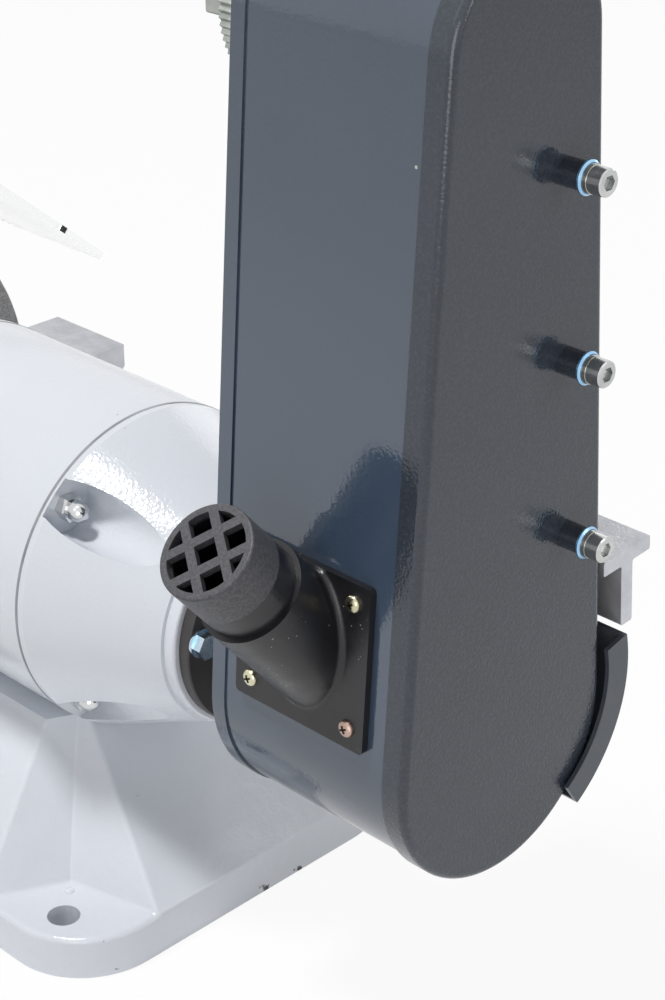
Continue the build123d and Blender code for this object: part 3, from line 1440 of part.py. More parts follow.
shield_middle = strip_start + shield_height / 2
shield_bottom = strip_top + fit_gap
shield_y, shield_z = shield_point(shield_middle, shield_bottom)
shield_plane = Plane(
    origin=(wheel_middle_x, shield_y, shaft_height + shield_z),
    x_dir=(1, 0, 0),
    z_dir=(0, *polar(1, 90 + shield_lean)),
)
rivets_at = [(-rivet_x, shield_middle - rivet_along), (rivet_x, shield_middle - rivet_along)]
with BuildPart() as shield_arm:
    for x in (wheel_middle_x - cheek_outer, wheel_middle_x + cheek_inner):
        tail = shield_point(strip_end - 6, strip_low - 1)
        cheek = loop_around(x, [(*shield_pivot, lug_radius), (*tail, lug_radius / 2)])
        extrude(cheek, amount=cheek_width)
        pivot = ring(x, shield_pin_radius + running_gap, y=shield_pivot[0], z=shield_pivot[1])
        extrude(pivot, amount=cheek_width, mode=Mode.SUBTRACT)
    with BuildSketch(shaft_plane(wheel_middle_x - cheek_outer)):
        with BuildLine():
            Polyline(
                shield_point(strip_start, strip_low),
                shield_point(strip_end, strip_low),
                shield_point(strip_end, strip_top),
                shield_point(strip_start, strip_top),
                close=True,
            )
        make_face()
    extrude(amount=2 * cheek_outer)
    with BuildSketch(shield_plane.offset(-1)):
        with Locations(*rivets_at):
            Circle(rivet_radius)
    extrude(amount=shield_thickness + 2)
    with BuildSketch(shield_plane.offset(shield_thickness + fit_gap)):
        with Locations(*rivets_at):
            Circle(1.8 * rivet_radius)
    extrude(amount=rivet_radius)
write(shield_arm, "shield_arm")

# Eye shield: clear plate over the grinding wheel's opening
with BuildPart() as eye_shield:
    with BuildSketch(shield_plane):
        RectangleRounded(shield_width, shield_height, 8)
        with Locations(*rivets_at):
            Circle(rivet_radius + fit_gap, mode=Mode.SUBTRACT)
    extrude(amount=shield_thickness)
write(eye_shield, "eye_shield")

# Switch: bezel on the base's front slope, with a well for each button
button_grip = 8.0
well_depth = button_grip + button_travel + 1
switch_seat = front_slope.offset(fit_gap)
switch_face = switch_seat.offset(switch_plate_thickness)
buttons_at = [(-button_pitch / 2, 0), (button_pitch / 2, 0)]
with BuildPart() as switch_plate:
    with BuildSketch(switch_seat):
        RectangleRounded(switch_width, switch_height, 3)
    extrude(amount=switch_plate_thickness)
    with BuildSketch(switch_seat):
        body_gap = 2 * (switch_rim + fit_gap)
        Rectangle(switch_width - body_gap, switch_height - body_gap)
    extrude(amount=-switch_body_depth)
    with BuildSketch(switch_face):
        with Locations(*buttons_at):
            Circle(button_radius + running_gap)
    extrude(amount=-well_depth, mode=Mode.SUBTRACT)
write(switch_plate, "switch_plate")

with BuildPart() as start_button:
    with BuildSketch(switch_face.offset(-button_grip)):
        with Locations(buttons_at[0]):
            Circle(button_radius)
    extrude(amount=button_grip + button_proud)
    fillet(start_button.edges().filter_by(GeomType.CIRCLE).sort_by(Axis.Y)[0], 1)
write(start_button, "start_button")

with BuildPart() as stop_button:
    with BuildSketch(switch_face.offset(-button_grip)):
        with Locations(buttons_at[1]):
            Circle(button_radius)
    extrude(amount=button_grip + button_proud)
    with BuildSketch(switch_face.offset(button_proud)):
        with Locations(buttons_at[1]):
            Circle(1.35 * button_radius)
    extrude(amount=button_proud)
    fillet(stop_button.faces().sort_by(Axis.Y)[0].edges(), 1.2)
write(stop_button, "stop_button")

# Capacitor: can that lies on the base cover, inside the pedestal
capacitor_y = 30.0
capacitor_z = cover_top + fit_gap + capacitor_radius
with BuildPart() as capacitor:
    with Locations((0, capacitor_y, capacitor_z)):
        Cylinder(capacitor_radius, capacitor_length, rotation=(0, 90, 0))
    chamfer(capacitor.edges().filter_by(GeomType.CIRCLE), 1.5)
write(capacitor, "capacitor")

# Cable gland: hex, dome and locknut in the base's rear slope
gland_flats = 22.0
gland_hex = 6.0
gland_dome = 8.0
gland_bore = 3.5
slope_thickness = slope_wall * pedestal_rise / hypot(pedestal_rise, side_run)
with BuildPart() as cable_gland:
    with BuildSketch(rear_slope.offset(fit_gap)):
        RegularPolygon(gland_flats / 2, 6, major_radius=False)
    extrude(amount=gland_hex)
    with BuildSketch(rear_slope.offset(gland_hex)):
        Circle(0.44 * gland_flats)
    extrude(amount=gland_dome)
    fillet(cable_gland.edges().filter_by(GeomType.CIRCLE).sort_by(Axis.Y)[-1], 3)
    with BuildSketch(rear_slope.offset(fit_gap)):
        Circle(gland_radius)
    extrude(amount=-slope_thickness - gland_hex)
    with BuildSketch(rear_slope.offset(-slope_thickness - 2 * fit_gap)):
        RegularPolygon(gland_flats / 2, 6, major_radius=False)
    extrude(amount=-0.7 * gland_hex)
    with BuildSketch(rear_slope.offset(2 * gland_hex + gland_dome)):
        Circle(gland_bore)
    extrude(amount=-8 * gland_hex, mode=Mode.SUBTRACT)
write(cable_gland, "cable_gland")
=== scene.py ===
# %% [markdown]
# # Combination belt sander
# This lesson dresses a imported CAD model: a bench motor on a cast foot, with a belt
# arm on one end of the shaft and a grinding wheel on the other. Every solid comes
# from the CAD frame and stays where it is. Here they get their paint, plating,
# plastic and grit, a few small cast and moulded details, a studio and a camera.

# %% Load the frame and keep its box
import math

import bmesh
import bpy
from mathutils import Matrix, Vector


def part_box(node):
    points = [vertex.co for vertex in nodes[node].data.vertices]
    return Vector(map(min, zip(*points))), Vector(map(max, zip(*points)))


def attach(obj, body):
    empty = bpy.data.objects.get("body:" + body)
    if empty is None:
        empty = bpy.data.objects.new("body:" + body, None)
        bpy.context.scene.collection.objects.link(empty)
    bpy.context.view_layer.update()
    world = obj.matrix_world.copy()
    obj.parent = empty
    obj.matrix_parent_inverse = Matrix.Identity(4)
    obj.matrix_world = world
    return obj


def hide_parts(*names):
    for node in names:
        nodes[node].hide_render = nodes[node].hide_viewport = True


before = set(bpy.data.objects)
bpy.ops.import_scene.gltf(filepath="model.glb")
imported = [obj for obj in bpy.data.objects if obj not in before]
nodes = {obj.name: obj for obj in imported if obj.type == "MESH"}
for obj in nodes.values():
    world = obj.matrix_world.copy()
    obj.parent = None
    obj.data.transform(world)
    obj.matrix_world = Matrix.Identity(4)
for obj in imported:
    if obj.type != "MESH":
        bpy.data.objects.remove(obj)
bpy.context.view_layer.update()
scene = bpy.context.scene
scene.view_settings.view_transform = "Standard"


# %% [markdown]
# The photograph is a close three-quarter view from behind the belt arm, looking
# down a little. A camera can be aimed with a Track To constraint, but a plain
# matrix built from three directions, right, up and back, is exact and has nothing
# left to evaluate. The lens is long, so edges that are parallel stay nearly so.

# %% Camera
EYE = Vector((-0.71942, 0.54873, 0.60390))
SIDE = Vector((-0.71009, -0.70413, -0.00248))
RISE = Vector((0.31649, -0.32231, 0.89216))
LENS = 81.76
SENSOR = 36.0

camera_data = bpy.data.cameras.new("photo_camera")
camera_data.lens = LENS
camera_data.sensor_width = SENSOR
camera = bpy.data.objects.new("photo_camera", camera_data)
scene.collection.objects.link(camera)
axes = Matrix((SIDE, RISE, SIDE.cross(RISE))).transposed()
camera.matrix_world = Matrix.Translation(EYE) @ axes.to_4x4()
scene.camera = camera
print("camera stands", round(EYE.length, 3), "m from the middle of the foot")


# %% [markdown]
# A finish is a small tree of nodes that ends in one Principled shader. Such a tree can
# be clicked together in the node editor, but written as code it serves again for the
# next finish. These first helpers start a finish, add a node and link two sockets.

# %% Helpers for nodes
def new_finish(name, colour, roughness, metallic=0.0, **sockets):
    made = bpy.data.materials.new(name)
    made.use_nodes = True
    shader = shader_of(made)
    shader.inputs["Base Color"].default_value = (*colour, 1.0)
    shader.inputs["Roughness"].default_value = roughness
    shader.inputs["Metallic"].default_value = metallic
    for socket, value in sockets.items():
        shader.inputs[socket.replace("_", " ")].default_value = value
    return made


def shader_of(made):
    return made.node_tree.nodes["Principled BSDF"]


def add_node(made, kind, **settings):
    fresh = made.node_tree.nodes.new(kind)
    for key, value in settings.items():
        setattr(fresh, key, value)
    return fresh


def wire(made, source, target):
    made.node_tree.links.new(source, target)


# %% [markdown]
# Wear, dust and grain need patterns. A photographed texture would need an unwrapped
# mesh, while noise and Voronoi cells only need a place to read. Here that place is
# Object coordinates, which are metres on this model, so a noise scale of 500 has
# features about two millimetres across. Noise seldom leaves the range of 0.3 to 0.7,
# so drift stretches that range, or a narrower one for patches, to the full 0 to 1.

# %% Helpers for patterns
NOISE_LOW = 0.3
NOISE_HIGH = 0.7
SPECK_CORE = 0.6


def place(made):
    return add_node(made, "ShaderNodeTexCoord").outputs["Object"]


def height_of(made):
    apart = add_node(made, "ShaderNodeSeparateXYZ")
    wire(made, place(made), apart.inputs["Vector"])
    return apart.outputs["Z"]


def remap(made, value, low, high, least=0.0, most=1.0):
    ranged = add_node(made, "ShaderNodeMapRange")
    numbers = {"From Min": low, "From Max": high, "To Min": least, "To Max": most}
    for socket, number in numbers.items():
        ranged.inputs[socket].default_value = number
    wire(made, value, ranged.inputs["Value"])
    return ranged.outputs["Result"]


def noise(made, scale, detail=2.0):
    grain = add_node(made, "ShaderNodeTexNoise")
    grain.inputs["Scale"].default_value = scale
    grain.inputs["Detail"].default_value = detail
    wire(made, place(made), grain.inputs["Vector"])
    return grain.outputs["Fac"]


def drift(made, scale, detail=2.0, low=NOISE_LOW, high=NOISE_HIGH, least=0.0, most=1.0):
    return remap(made, noise(made, scale, detail), low, high, least, most)


def specks(made, scale, size):
    cells = add_node(made, "ShaderNodeTexVoronoi")
    cells.inputs["Scale"].default_value = scale
    wire(made, place(made), cells.inputs["Vector"])
    return remap(made, cells.outputs["Distance"], low=size, high=size * SPECK_CORE)


def multiply(made, first, second):
    product = add_node(made, "ShaderNodeMath", operation="MULTIPLY")
    wire(made, first, product.inputs[0])
    wire(made, second, product.inputs[1])
    return product.outputs[0]


# %% [markdown]
# A pattern steers three things: the colour, the shine and the fine relief. The relief
# is a bump, which only bends the shading, so it serves for grain that is far finer than
# a mesh could carry. The last helper puts a finish on solids by their names.

# %% Helpers for colour, shine and relief
def blend_colours(made, factor, first, second):
    mixed = add_node(made, "ShaderNodeMix", data_type="RGBA")
    wire(made, factor, mixed.inputs[0])
    for socket, colour in ((mixed.inputs[6], first), (mixed.inputs[7], second)):
        if isinstance(colour, tuple):
            socket.default_value = (*colour, 1.0)
        else:
            wire(made, colour, socket)
    return mixed.outputs[2]


def paint(made, colour):
    wire(made, colour, shader_of(made).inputs["Base Color"])


def shine(made, scale, smooth, rough, detail=3.0):
    smears = drift(made, scale, detail, least=smooth, most=rough)
    wire(made, smears, shader_of(made).inputs["Roughness"])


def relief(made, height, depth, strength=1.0):
    bump = add_node(made, "ShaderNodeBump")
    bump.inputs["Strength"].default_value = strength
    bump.inputs["Distance"].default_value = depth
    wire(made, height, bump.inputs["Height"])
    into = shader_of(made).inputs["Normal"]
    if into.is_linked:
        wire(made, into.links[0].from_socket, bump.inputs["Normal"])
    wire(made, bump.outputs["Normal"], into)


def dress(made, *names):
    for name in names:
        slots = nodes[name].data.materials
        slots.clear()
        slots.append(made)
    print(made.name, "on", ", ".join(names))


# %% [markdown]
# The foot and the motor are iron castings and a steel tube, sprayed with a cool
# white gloss paint. Sprayed gloss is never flat: it dries to a fine orange peel,
# and on sand-cast iron a slow ripple shows under it. Two noises of different size
# give both. A few chips along the skirt show the dark primer.

# %% White gloss paint
WHITE = (0.738, 0.768, 0.820)
WHITE_DULL = (0.705, 0.733, 0.788)
PRIMER = (0.05, 0.052, 0.055)
PEEL_SCALE = 640.0
PEEL_DEPTH = 0.00013
CAST_RIPPLE = 0.0010
DRUM_RIPPLE = 0.00012
CHIP_TOP = 0.006
CHIP_FULL = 0.002


def gloss_white(name, ripple, chipped):
    made = new_finish(name, WHITE, roughness=0.16, IOR=1.5)
    tone = drift(made, scale=9.0, low=0.35, high=0.7)
    colour = blend_colours(made, tone, WHITE, WHITE_DULL)
    if chipped:
        skirt = remap(made, height_of(made), CHIP_TOP, CHIP_FULL)
        patch = drift(made, scale=95.0, detail=4.0, low=0.65, high=0.68)
        colour = blend_colours(made, multiply(made, skirt, patch), colour, PRIMER)
    here_and_there = drift(made, scale=21.0, low=0.6, high=0.64, most=0.7)
    pinholes = multiply(made, specks(made, scale=75.0, size=0.045), here_and_there)
    paint(made, blend_colours(made, pinholes, colour, PRIMER))
    shine(made, scale=60.0, smooth=0.12, rough=0.20)
    relief(made, noise(made, scale=55.0), ripple)
    relief(made, noise(made, PEEL_SCALE, detail=1.0), PEEL_DEPTH)
    return made


cast_white = gloss_white("cast_white", CAST_RIPPLE, chipped=True)
dress(cast_white, "base_casting")
drum_white = gloss_white("drum_white", DRUM_RIPPLE, chipped=False)
dress(drum_white, "motor_shell", "end_bell_left", "end_bell_right")


# %% [markdown]
# The belt housing and the wheel hood are folded steel in a slate blue-grey gloss.
# Dark gloss gets its look from what it mirrors, so the colour itself is deep and
# the clear surface over it is smooth. Dust that settled in the wet paint leaves
# a few pale dots. A band at mid height is painted lighter, a painted reflection of
# the floor's light on the lower housing.

# %% Slate paint for the housing
SLATE = (0.038, 0.058, 0.090)
SLATE_LIGHT = (0.045, 0.067, 0.102)
SLATE_PAINTED_REFLECTION = (0.050, 0.077, 0.122)
DUST = (0.55, 0.53, 0.48)
REFLECTION_TOP = (0.36, 0.24)
REFLECTION_FOOT = (0.13, 0.17)

slate = new_finish("slate_gloss", SLATE, roughness=0.14, IOR=1.8)
slate_tone = drift(slate, scale=9.0, low=0.35, high=0.68)
slate_colour = blend_colours(slate, slate_tone, SLATE, SLATE_LIGHT)
slate_height = height_of(slate)
# painted reflection: the slate turns lighter in a band at mid height, standing in for floor light
# mirrored on the housing
reflection_under_top = remap(slate, slate_height, *REFLECTION_TOP)
reflection_over_foot = remap(slate, slate_height, *REFLECTION_FOOT)
painted_reflection = multiply(slate, reflection_under_top, reflection_over_foot)
slate_colour = blend_colours(slate, painted_reflection, slate_colour, SLATE_PAINTED_REFLECTION)
dusty_patches = drift(slate, scale=11.0, low=0.55, high=0.6)
slate_dust = multiply(slate, specks(slate, scale=46.0, size=0.035), dusty_patches)
paint(slate, blend_colours(slate, slate_dust, slate_colour, DUST))
shine(slate, scale=40.0, smooth=0.07, rough=0.14)
relief(slate, noise(slate, scale=620.0, detail=1.0), depth=0.00009, strength=0.7)
dress(slate, "arm_plate", "housing_band", "wheel_hood")


# %% [markdown]
# The removable side covers wear the same slate, a shade deeper, in one thick coat.
# The coat ran a little while it was wet, so its orange peel is shallow at the top
# and strong near the foot. The peel noise is multiplied by a ramp along Z, which
# is simpler than two finishes with a mask between them.

# %% Cover paint
COVER_SLATE = (0.030, 0.038, 0.053)
COVER_LIGHT = (0.036, 0.045, 0.062)
COVER_GLINT = (0.062, 0.073, 0.092)
PEEL_GLINT_SCALE = 880.0
RUN_TOP = 0.30
RUN_FOOT = 0.08
RUN_LEAST = 0.35
RUN_DEPTH = 0.00022

cover_paint = new_finish("cover_slate", COVER_SLATE, roughness=0.12, IOR=1.55)
cover_tone = drift(cover_paint, scale=10.0, low=0.35, high=0.68)
cover_colour = blend_colours(cover_paint, cover_tone, COVER_SLATE, COVER_LIGHT)
# painted highlight: lighter flecks on the same noise as the orange peel stand in for the glints of
# the peel
cover_glint = drift(cover_paint, PEEL_GLINT_SCALE, detail=1.0, low=0.42, high=0.70, most=0.4)
paint(cover_paint, blend_colours(cover_paint, cover_glint, cover_colour, COVER_GLINT))
shine(cover_paint, scale=50.0, smooth=0.09, rough=0.16)
run = remap(cover_paint, height_of(cover_paint), RUN_TOP, RUN_FOOT, least=RUN_LEAST)
peel = multiply(cover_paint, noise(cover_paint, PEEL_GLINT_SCALE, detail=1.0), run)
relief(cover_paint, peel, RUN_DEPTH)
dress(cover_paint, "side_cover", "hood_cover")


# %% [markdown]
# Three darker paints finish the small sheet and cast pieces: a satin slate on the
# spark guard, black enamel on the brackets and a brownish black on the clamp ring.
# Each one has its own slow change of tone and a grain that suits its surface.

# %% Dark sheet paints
guard_paint = new_finish("guard_satin", (0.058, 0.069, 0.085), roughness=0.28, IOR=1.5)
guard_tone = drift(guard_paint, scale=30.0, detail=3.0)
guard_colour = blend_colours(guard_paint, guard_tone, (0.050, 0.061, 0.076), (0.066, 0.078, 0.095))
paint(guard_paint, guard_colour)
relief(guard_paint, noise(guard_paint, scale=700.0, detail=1.0), depth=0.0001, strength=0.5)
dress(guard_paint, "spark_guard")

black_paint = new_finish("black_enamel", (0.012, 0.012, 0.013), roughness=0.3, IOR=1.5)
shine(black_paint, scale=60.0, smooth=0.24, rough=0.4)
relief(black_paint, noise(black_paint, scale=520.0, detail=1.0), depth=0.0001, strength=0.5)
dress(black_paint, "base_cover", "spring_bracket", "shield_arm")

ring_black = new_finish("ring_brown_black", (0.030, 0.027, 0.027), roughness=0.42, IOR=1.5)
ring_tone = drift(ring_black, scale=40.0, detail=4.0)
ring_colour = blend_colours(ring_black, ring_tone, (0.024, 0.021, 0.021), (0.044, 0.040, 0.040))
paint(ring_black, ring_colour)
relief(ring_black, noise(ring_black, scale=320.0, detail=3.0), depth=0.0002, strength=0.5)
dress(ring_black, "clamp_ring")


# %% [markdown]
# The dust port and its grille are moulded in black plastic with a satin skin.
# Pale sanding dust sticks to it as fine specks, and the skin has a slight grain
# from the mould. The grille is greyer and rougher, because the dust passes there.
# The port's plastic also serves for the switch plate and the cable gland, and the
# two buttons have their own colours in a loop.

# %% Moulded plastics
moulded_black = new_finish("moulded_black", (0.010, 0.010, 0.013), roughness=0.32, IOR=1.5)
port_tone = drift(moulded_black, scale=35.0, detail=4.0, high=0.75)
port_colour = blend_colours(moulded_black, port_tone, (0.005, 0.005, 0.007), (0.015, 0.015, 0.018))
dusty_spots = drift(moulded_black, scale=60.0, low=0.56, high=0.62, most=0.8)
port_dust = multiply(moulded_black, specks(moulded_black, scale=420.0, size=0.13), dusty_spots)
paint(moulded_black, blend_colours(moulded_black, port_dust, port_colour, (0.42, 0.42, 0.42)))
shine(moulded_black, scale=90.0, smooth=0.26, rough=0.38)
relief(moulded_black, noise(moulded_black, scale=900.0), depth=0.00012, strength=0.5)
dress(moulded_black, "dust_port", "switch_plate", "cable_gland")

dusty_black = new_finish("dusty_black", (0.045, 0.045, 0.047), roughness=0.5, IOR=1.5)
cap_tone = drift(dusty_black, scale=900.0, detail=4.0, low=0.35)
cap_colour = blend_colours(dusty_black, cap_tone, (0.042, 0.042, 0.048), (0.088, 0.088, 0.098))
paint(dusty_black, cap_colour)
relief(dusty_black, noise(dusty_black, scale=700.0, detail=3.0), depth=0.00025, strength=0.6)
dress(dusty_black, "dust_cap")

for button, colour, deep in (
    ("start_button", (0.02, 0.30, 0.07), (0.015, 0.22, 0.05)),
    ("stop_button", (0.52, 0.018, 0.016), (0.40, 0.012, 0.012)),
):
    moulded = new_finish(button + "_plastic", colour, roughness=0.3, IOR=1.46)
    fade = drift(moulded, scale=90.0, detail=3.0)
    paint(moulded, blend_colours(moulded, fade, colour, deep))
    relief(moulded, noise(moulded, scale=800.0, detail=1.0), depth=0.00008, strength=0.4)
    dress(moulded, button)


# %% [markdown]
# Small steel parts are electroplated, and each plating has its own hue: plain
# zinc is a bluish grey, the clear chromate on the washers turns sky blue at its
# edges, and the yellow chromate on the dust port's screws is brassy. They are all
# one recipe: a metal colour that wanders a little, with smears in the roughness.

# %% Platings and bare metals
SMOOTHEST = 0.7
ROUGHEST = 1.35


def plating(name, light, dark, rough, grain=260.0, depth=0.00006):
    made = new_finish(name, light, rough, metallic=1.0)
    paint(made, blend_colours(made, drift(made, scale=120.0, detail=4.0), light, dark))
    shine(made, grain, rough * SMOOTHEST, rough * ROUGHEST)
    relief(made, noise(made, scale=1400.0), depth, strength=0.6)
    return made


zinc = plating("zinc_plate", (0.58, 0.60, 0.62), (0.42, 0.44, 0.46), 0.28)
dress(
    zinc, "base_cover_screws", "saddle_bolts", "tie_rods", "plate_screws", "cover_posts",
    "arm_clamp_screws", "hood_screws", "spark_arrester", "grinding_rest_bolts", "shield_pin",
    "shaft_nuts", "tension_spring",
)
blue_zinc = plating("blue_zinc", (0.66, 0.76, 0.84), (0.36, 0.52, 0.66), 0.22)
dress(blue_zinc, "nose_bolts")
bright_screw = plating("bright_zinc", (0.66, 0.67, 0.66), (0.46, 0.48, 0.48), 0.2)
dress(bright_screw, "cover_screws")
dome_chrome = plating("dome_chrome", (0.72, 0.73, 0.74), (0.56, 0.57, 0.58), 0.12, depth=0.00003)
dress(dome_chrome, "dome_nuts")
knurl_zinc = plating("knurl_zinc", (0.46, 0.48, 0.45), (0.33, 0.35, 0.33), 0.34)
dress(knurl_zinc, "tracking_wheel", "tension_block")
wheel_alloy = plating("wheel_alloy", (0.60, 0.61, 0.62), (0.50, 0.51, 0.52), 0.32)
dress(wheel_alloy, "drive_wheel", "idler_wheel")
can_alloy = plating("can_alloy", (0.62, 0.62, 0.63), (0.54, 0.54, 0.55), 0.24)
dress(can_alloy, "capacitor")
copper = plating("copper_wire", (0.60, 0.26, 0.12), (0.42, 0.15, 0.06), 0.3)
dress(copper, "stator_windings")


# %% [markdown]
# Turned steel carries fine circles from the lathe, and a laminated core shows the
# edges of its stacked sheets. Both run along the shaft, which is X here, so a Wave
# texture with bands along X draws them as rings.

# %% Turned steel and laminations
RING_WAVER = 0.6


def ringed(name, light, dark, rough, pitch):
    made = plating(name, light, dark, rough)
    rings = add_node(made, "ShaderNodeTexWave", wave_type="BANDS", bands_direction="X")
    rings.inputs["Scale"].default_value = pitch
    rings.inputs["Distortion"].default_value = RING_WAVER
    wire(made, place(made), rings.inputs["Vector"])
    relief(made, rings.outputs["Fac"], depth=0.00008, strength=0.4)
    return made


turned = ringed("turned_steel", (0.55, 0.55, 0.56), (0.42, 0.42, 0.43), 0.28, pitch=420.0)
dress(
    turned, "shaft_bearings", "motor_shaft", "spacer_sleeves", "wheel_flanges", "swivel_neck",
    "platen", "idler_bearings", "idler_axle",
)
laminated = ringed("laminated_steel", (0.30, 0.30, 0.31), (0.20, 0.20, 0.21), 0.42, pitch=300.0)
dress(laminated, "stator_core", "rotor_core")


# %% [markdown]
# The work rests are cast aluminium, left as cast and tumbled: pale, satin, finely
# pitted. Its oxide skin scatters light, so it counts as only half metal. A fine
# noise cuts the pits and a slower one stains the colour.

# %% Cast rests
CAST_METAL = 0.55
cast_alloy = plating("cast_alloy", (0.66, 0.67, 0.71), (0.54, 0.55, 0.59), 0.40, grain=180.0)
shader_of(cast_alloy).inputs["Metallic"].default_value = CAST_METAL
pits = drift(cast_alloy, scale=420.0, detail=3.0, low=0.25, high=0.45)
relief(cast_alloy, pits, depth=0.00018, strength=0.6)
dress(cast_alloy, "belt_rest", "grinding_rest")


# %% [markdown]
# Grit is the working surface. The belt is brown aluminium oxide on cloth, and the
# wheel is grey vitrified stone. Tight Voronoi cells make grains that stand up, each
# with its own shade. The drive wheel has a tyre of plain dull rubber.

# %% Belt, stone and tyre
def gritty(name, dark, light, scale, depth):
    made = new_finish(name, dark, roughness=0.85)
    grains = add_node(made, "ShaderNodeTexVoronoi")
    grains.inputs["Scale"].default_value = scale
    wire(made, place(made), grains.inputs["Vector"])
    paint(made, blend_colours(made, grains.outputs["Color"], dark, light))
    relief(made, grains.outputs["Distance"], depth, strength=0.8)
    return made


belt_grit = gritty(
    "belt_grit", (0.10, 0.045, 0.025), (0.26, 0.13, 0.075), scale=1900.0, depth=0.0004
)
dress(belt_grit, "sanding_belt")
stone_grit = gritty(
    "stone_grit", (0.22, 0.22, 0.225), (0.46, 0.46, 0.46), scale=1300.0, depth=0.0005
)
dress(stone_grit, "grinding_wheel")

rubber = new_finish("tyre_rubber", (0.018, 0.018, 0.018), roughness=0.75)
shine(rubber, scale=120.0, smooth=0.62, rough=0.85, detail=4.0)
relief(rubber, noise(rubber, scale=600.0, detail=3.0), depth=0.0003, strength=0.6)
dress(rubber, "drive_tyre")


# %% [markdown]
# The eye shield is a clear plastic plate. Full transmission with the index of
# acrylic makes it, and faint scratches in the roughness keep it from vanishing.

# %% Clear shield
clear = new_finish(
    "clear_shield", (0.97, 0.98, 0.98), roughness=0.02, Transmission_Weight=1.0, IOR=1.49
)
shine(clear, scale=25.0, smooth=0.01, rough=0.035, detail=2.0)
dress(clear, "eye_shield")


# %% [markdown]
# The next pieces are small enough that the CAD keeps them plain, yet the camera is
# close enough to see their shape: washers with plated edges, domed screws with a
# cross, a grey joint line round the motor. All of them are turned parts, so one
# helper spins an outline about an axis, and another lists where the CAD has them.

# %% Helpers for turned pieces
WELD = 1e-6
TURN_STEPS = 40
SMOOTH_ANGLE = math.radians(35.0)


def solids_of(name):
    """Lowest and highest corner of each separate solid in a CAD node."""
    shape = bmesh.new()
    shape.from_mesh(nodes[name].data)
    bmesh.ops.remove_doubles(shape, verts=shape.verts, dist=WELD)
    waiting = set(shape.verts)
    found = []
    while waiting:
        front = [waiting.pop()]
        island = list(front)
        while front:
            joined = {e.other_vert(v) for v in front for e in v.link_edges} & waiting
            waiting -= joined
            island.extend(joined)
            front = list(joined)
        spans = [[v.co[axis] for v in island] for axis in range(3)]
        found.append((Vector(map(min, spans)), Vector(map(max, spans))))
    shape.free()
    return sorted(found, key=lambda corners: tuple(corners[0]))


def turn(shape, outline, centre, axis, rounds=TURN_STEPS):
    """Spin an outline of (along the axis, radius) points right round."""
    across = axis.orthogonal().normalized()
    rim = [shape.verts.new(centre + axis * along + across * radius) for along, radius in outline]
    steps = [shape.edges.new(pair) for pair in zip(rim, rim[1:])]
    bmesh.ops.spin(
        shape, geom=rim + steps, cent=centre, axis=axis, angle=math.tau, steps=rounds,
        use_merge=True,
    )


def add_piece(name, shape, body, slot, *finishes):
    """Close a bmesh, make it an object at the origin and let it ride on a body."""
    bmesh.ops.remove_doubles(shape, verts=shape.verts, dist=WELD)
    bmesh.ops.recalc_face_normals(shape, faces=shape.faces)
    mesh = bpy.data.meshes.new(name)
    shape.to_mesh(mesh)
    shape.free()
    for finish in finishes:
        mesh.materials.append(finish)
    mesh.shade_smooth()
    mesh.set_sharp_from_angle(angle=SMOOTH_ANGLE)
    made = bpy.data.objects.new(name, mesh)
    scene.collection.objects.link(made)
    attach(made, body)
    print(name, "has", len(mesh.polygons), "faces")
    return made


# %% [markdown]
# Under each screw of the side cover lie a flat washer and a spring washer. The flat
# one has a blue chromate. Its flat faces get a dark copy of that plating, painted shade,
# and its rolled rim a pale sky-blue copy, a painted highlight, chosen by which way a face looks.

# %% Washers of the side cover
FLAT_WASHER = 0.0014
SPRING_WASHER = 0.0016
SPRING_RADIUS = 0.0052
WASHER_BORE = 0.0031
WASHER_EDGE = 0.0007
FACE_ON = 0.95

# painted light: two copies of one blue chromate, a dark one as painted shade on the faces and a
# pale one as a painted highlight on the rim
washer_shaded_face = plating("blue_washer_shaded_face", (0.10, 0.17, 0.28), (0.20, 0.30, 0.42), 0.24)
washer_lit_rim = plating("blue_washer_lit_rim", (0.42, 0.66, 0.88), (0.26, 0.50, 0.78), 0.22)
spring_plate = plating("spring_washer_zinc", (0.66, 0.64, 0.58), (0.46, 0.45, 0.42), 0.24)

OUTWARD = Vector((-1.0, 0.0, 0.0))
washers = bmesh.new()
springs = bmesh.new()
for low, high in solids_of("cover_washers"):
    if high.x - low.x < FLAT_WASHER / 2:
        continue
    seat = Vector((high.x, (low.y + high.y) / 2, (low.z + high.z) / 2))
    radius = (high.z - low.z) / 2
    flat = [
        (0.0, WASHER_BORE), (0.0, radius), (FLAT_WASHER - WASHER_EDGE, radius),
        (FLAT_WASHER, radius - WASHER_EDGE), (FLAT_WASHER, WASHER_BORE), (0.0, WASHER_BORE),
    ]
    turn(washers, flat, seat, OUTWARD)
    stack = FLAT_WASHER + SPRING_WASHER
    spring = [
        (FLAT_WASHER, WASHER_BORE), (FLAT_WASHER, SPRING_RADIUS), (stack, SPRING_RADIUS),
        (stack, WASHER_BORE), (FLAT_WASHER, WASHER_BORE),
    ]
    turn(springs, spring, seat, OUTWARD)
bmesh.ops.remove_doubles(washers, verts=washers.verts, dist=WELD)
washers.normal_update()
for face in washers.faces:
    face.material_index = 0 if abs(face.normal.x) > FACE_ON else 1
flat_washers = add_piece("cover_flat_washers", washers, "arm", "zinc", washer_shaded_face, washer_lit_rim)
spring_washers = add_piece("cover_spring_washers", springs, "arm", "zinc", spring_plate)
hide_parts("cover_washers")


# %% [markdown]
# The dust port is held by four small pan screws, set square on its leaning plate. The
# lean could be typed in, but it is safer worked out from the screws of the CAD model:
# the line from the top one to the bottom one lies in the plate.

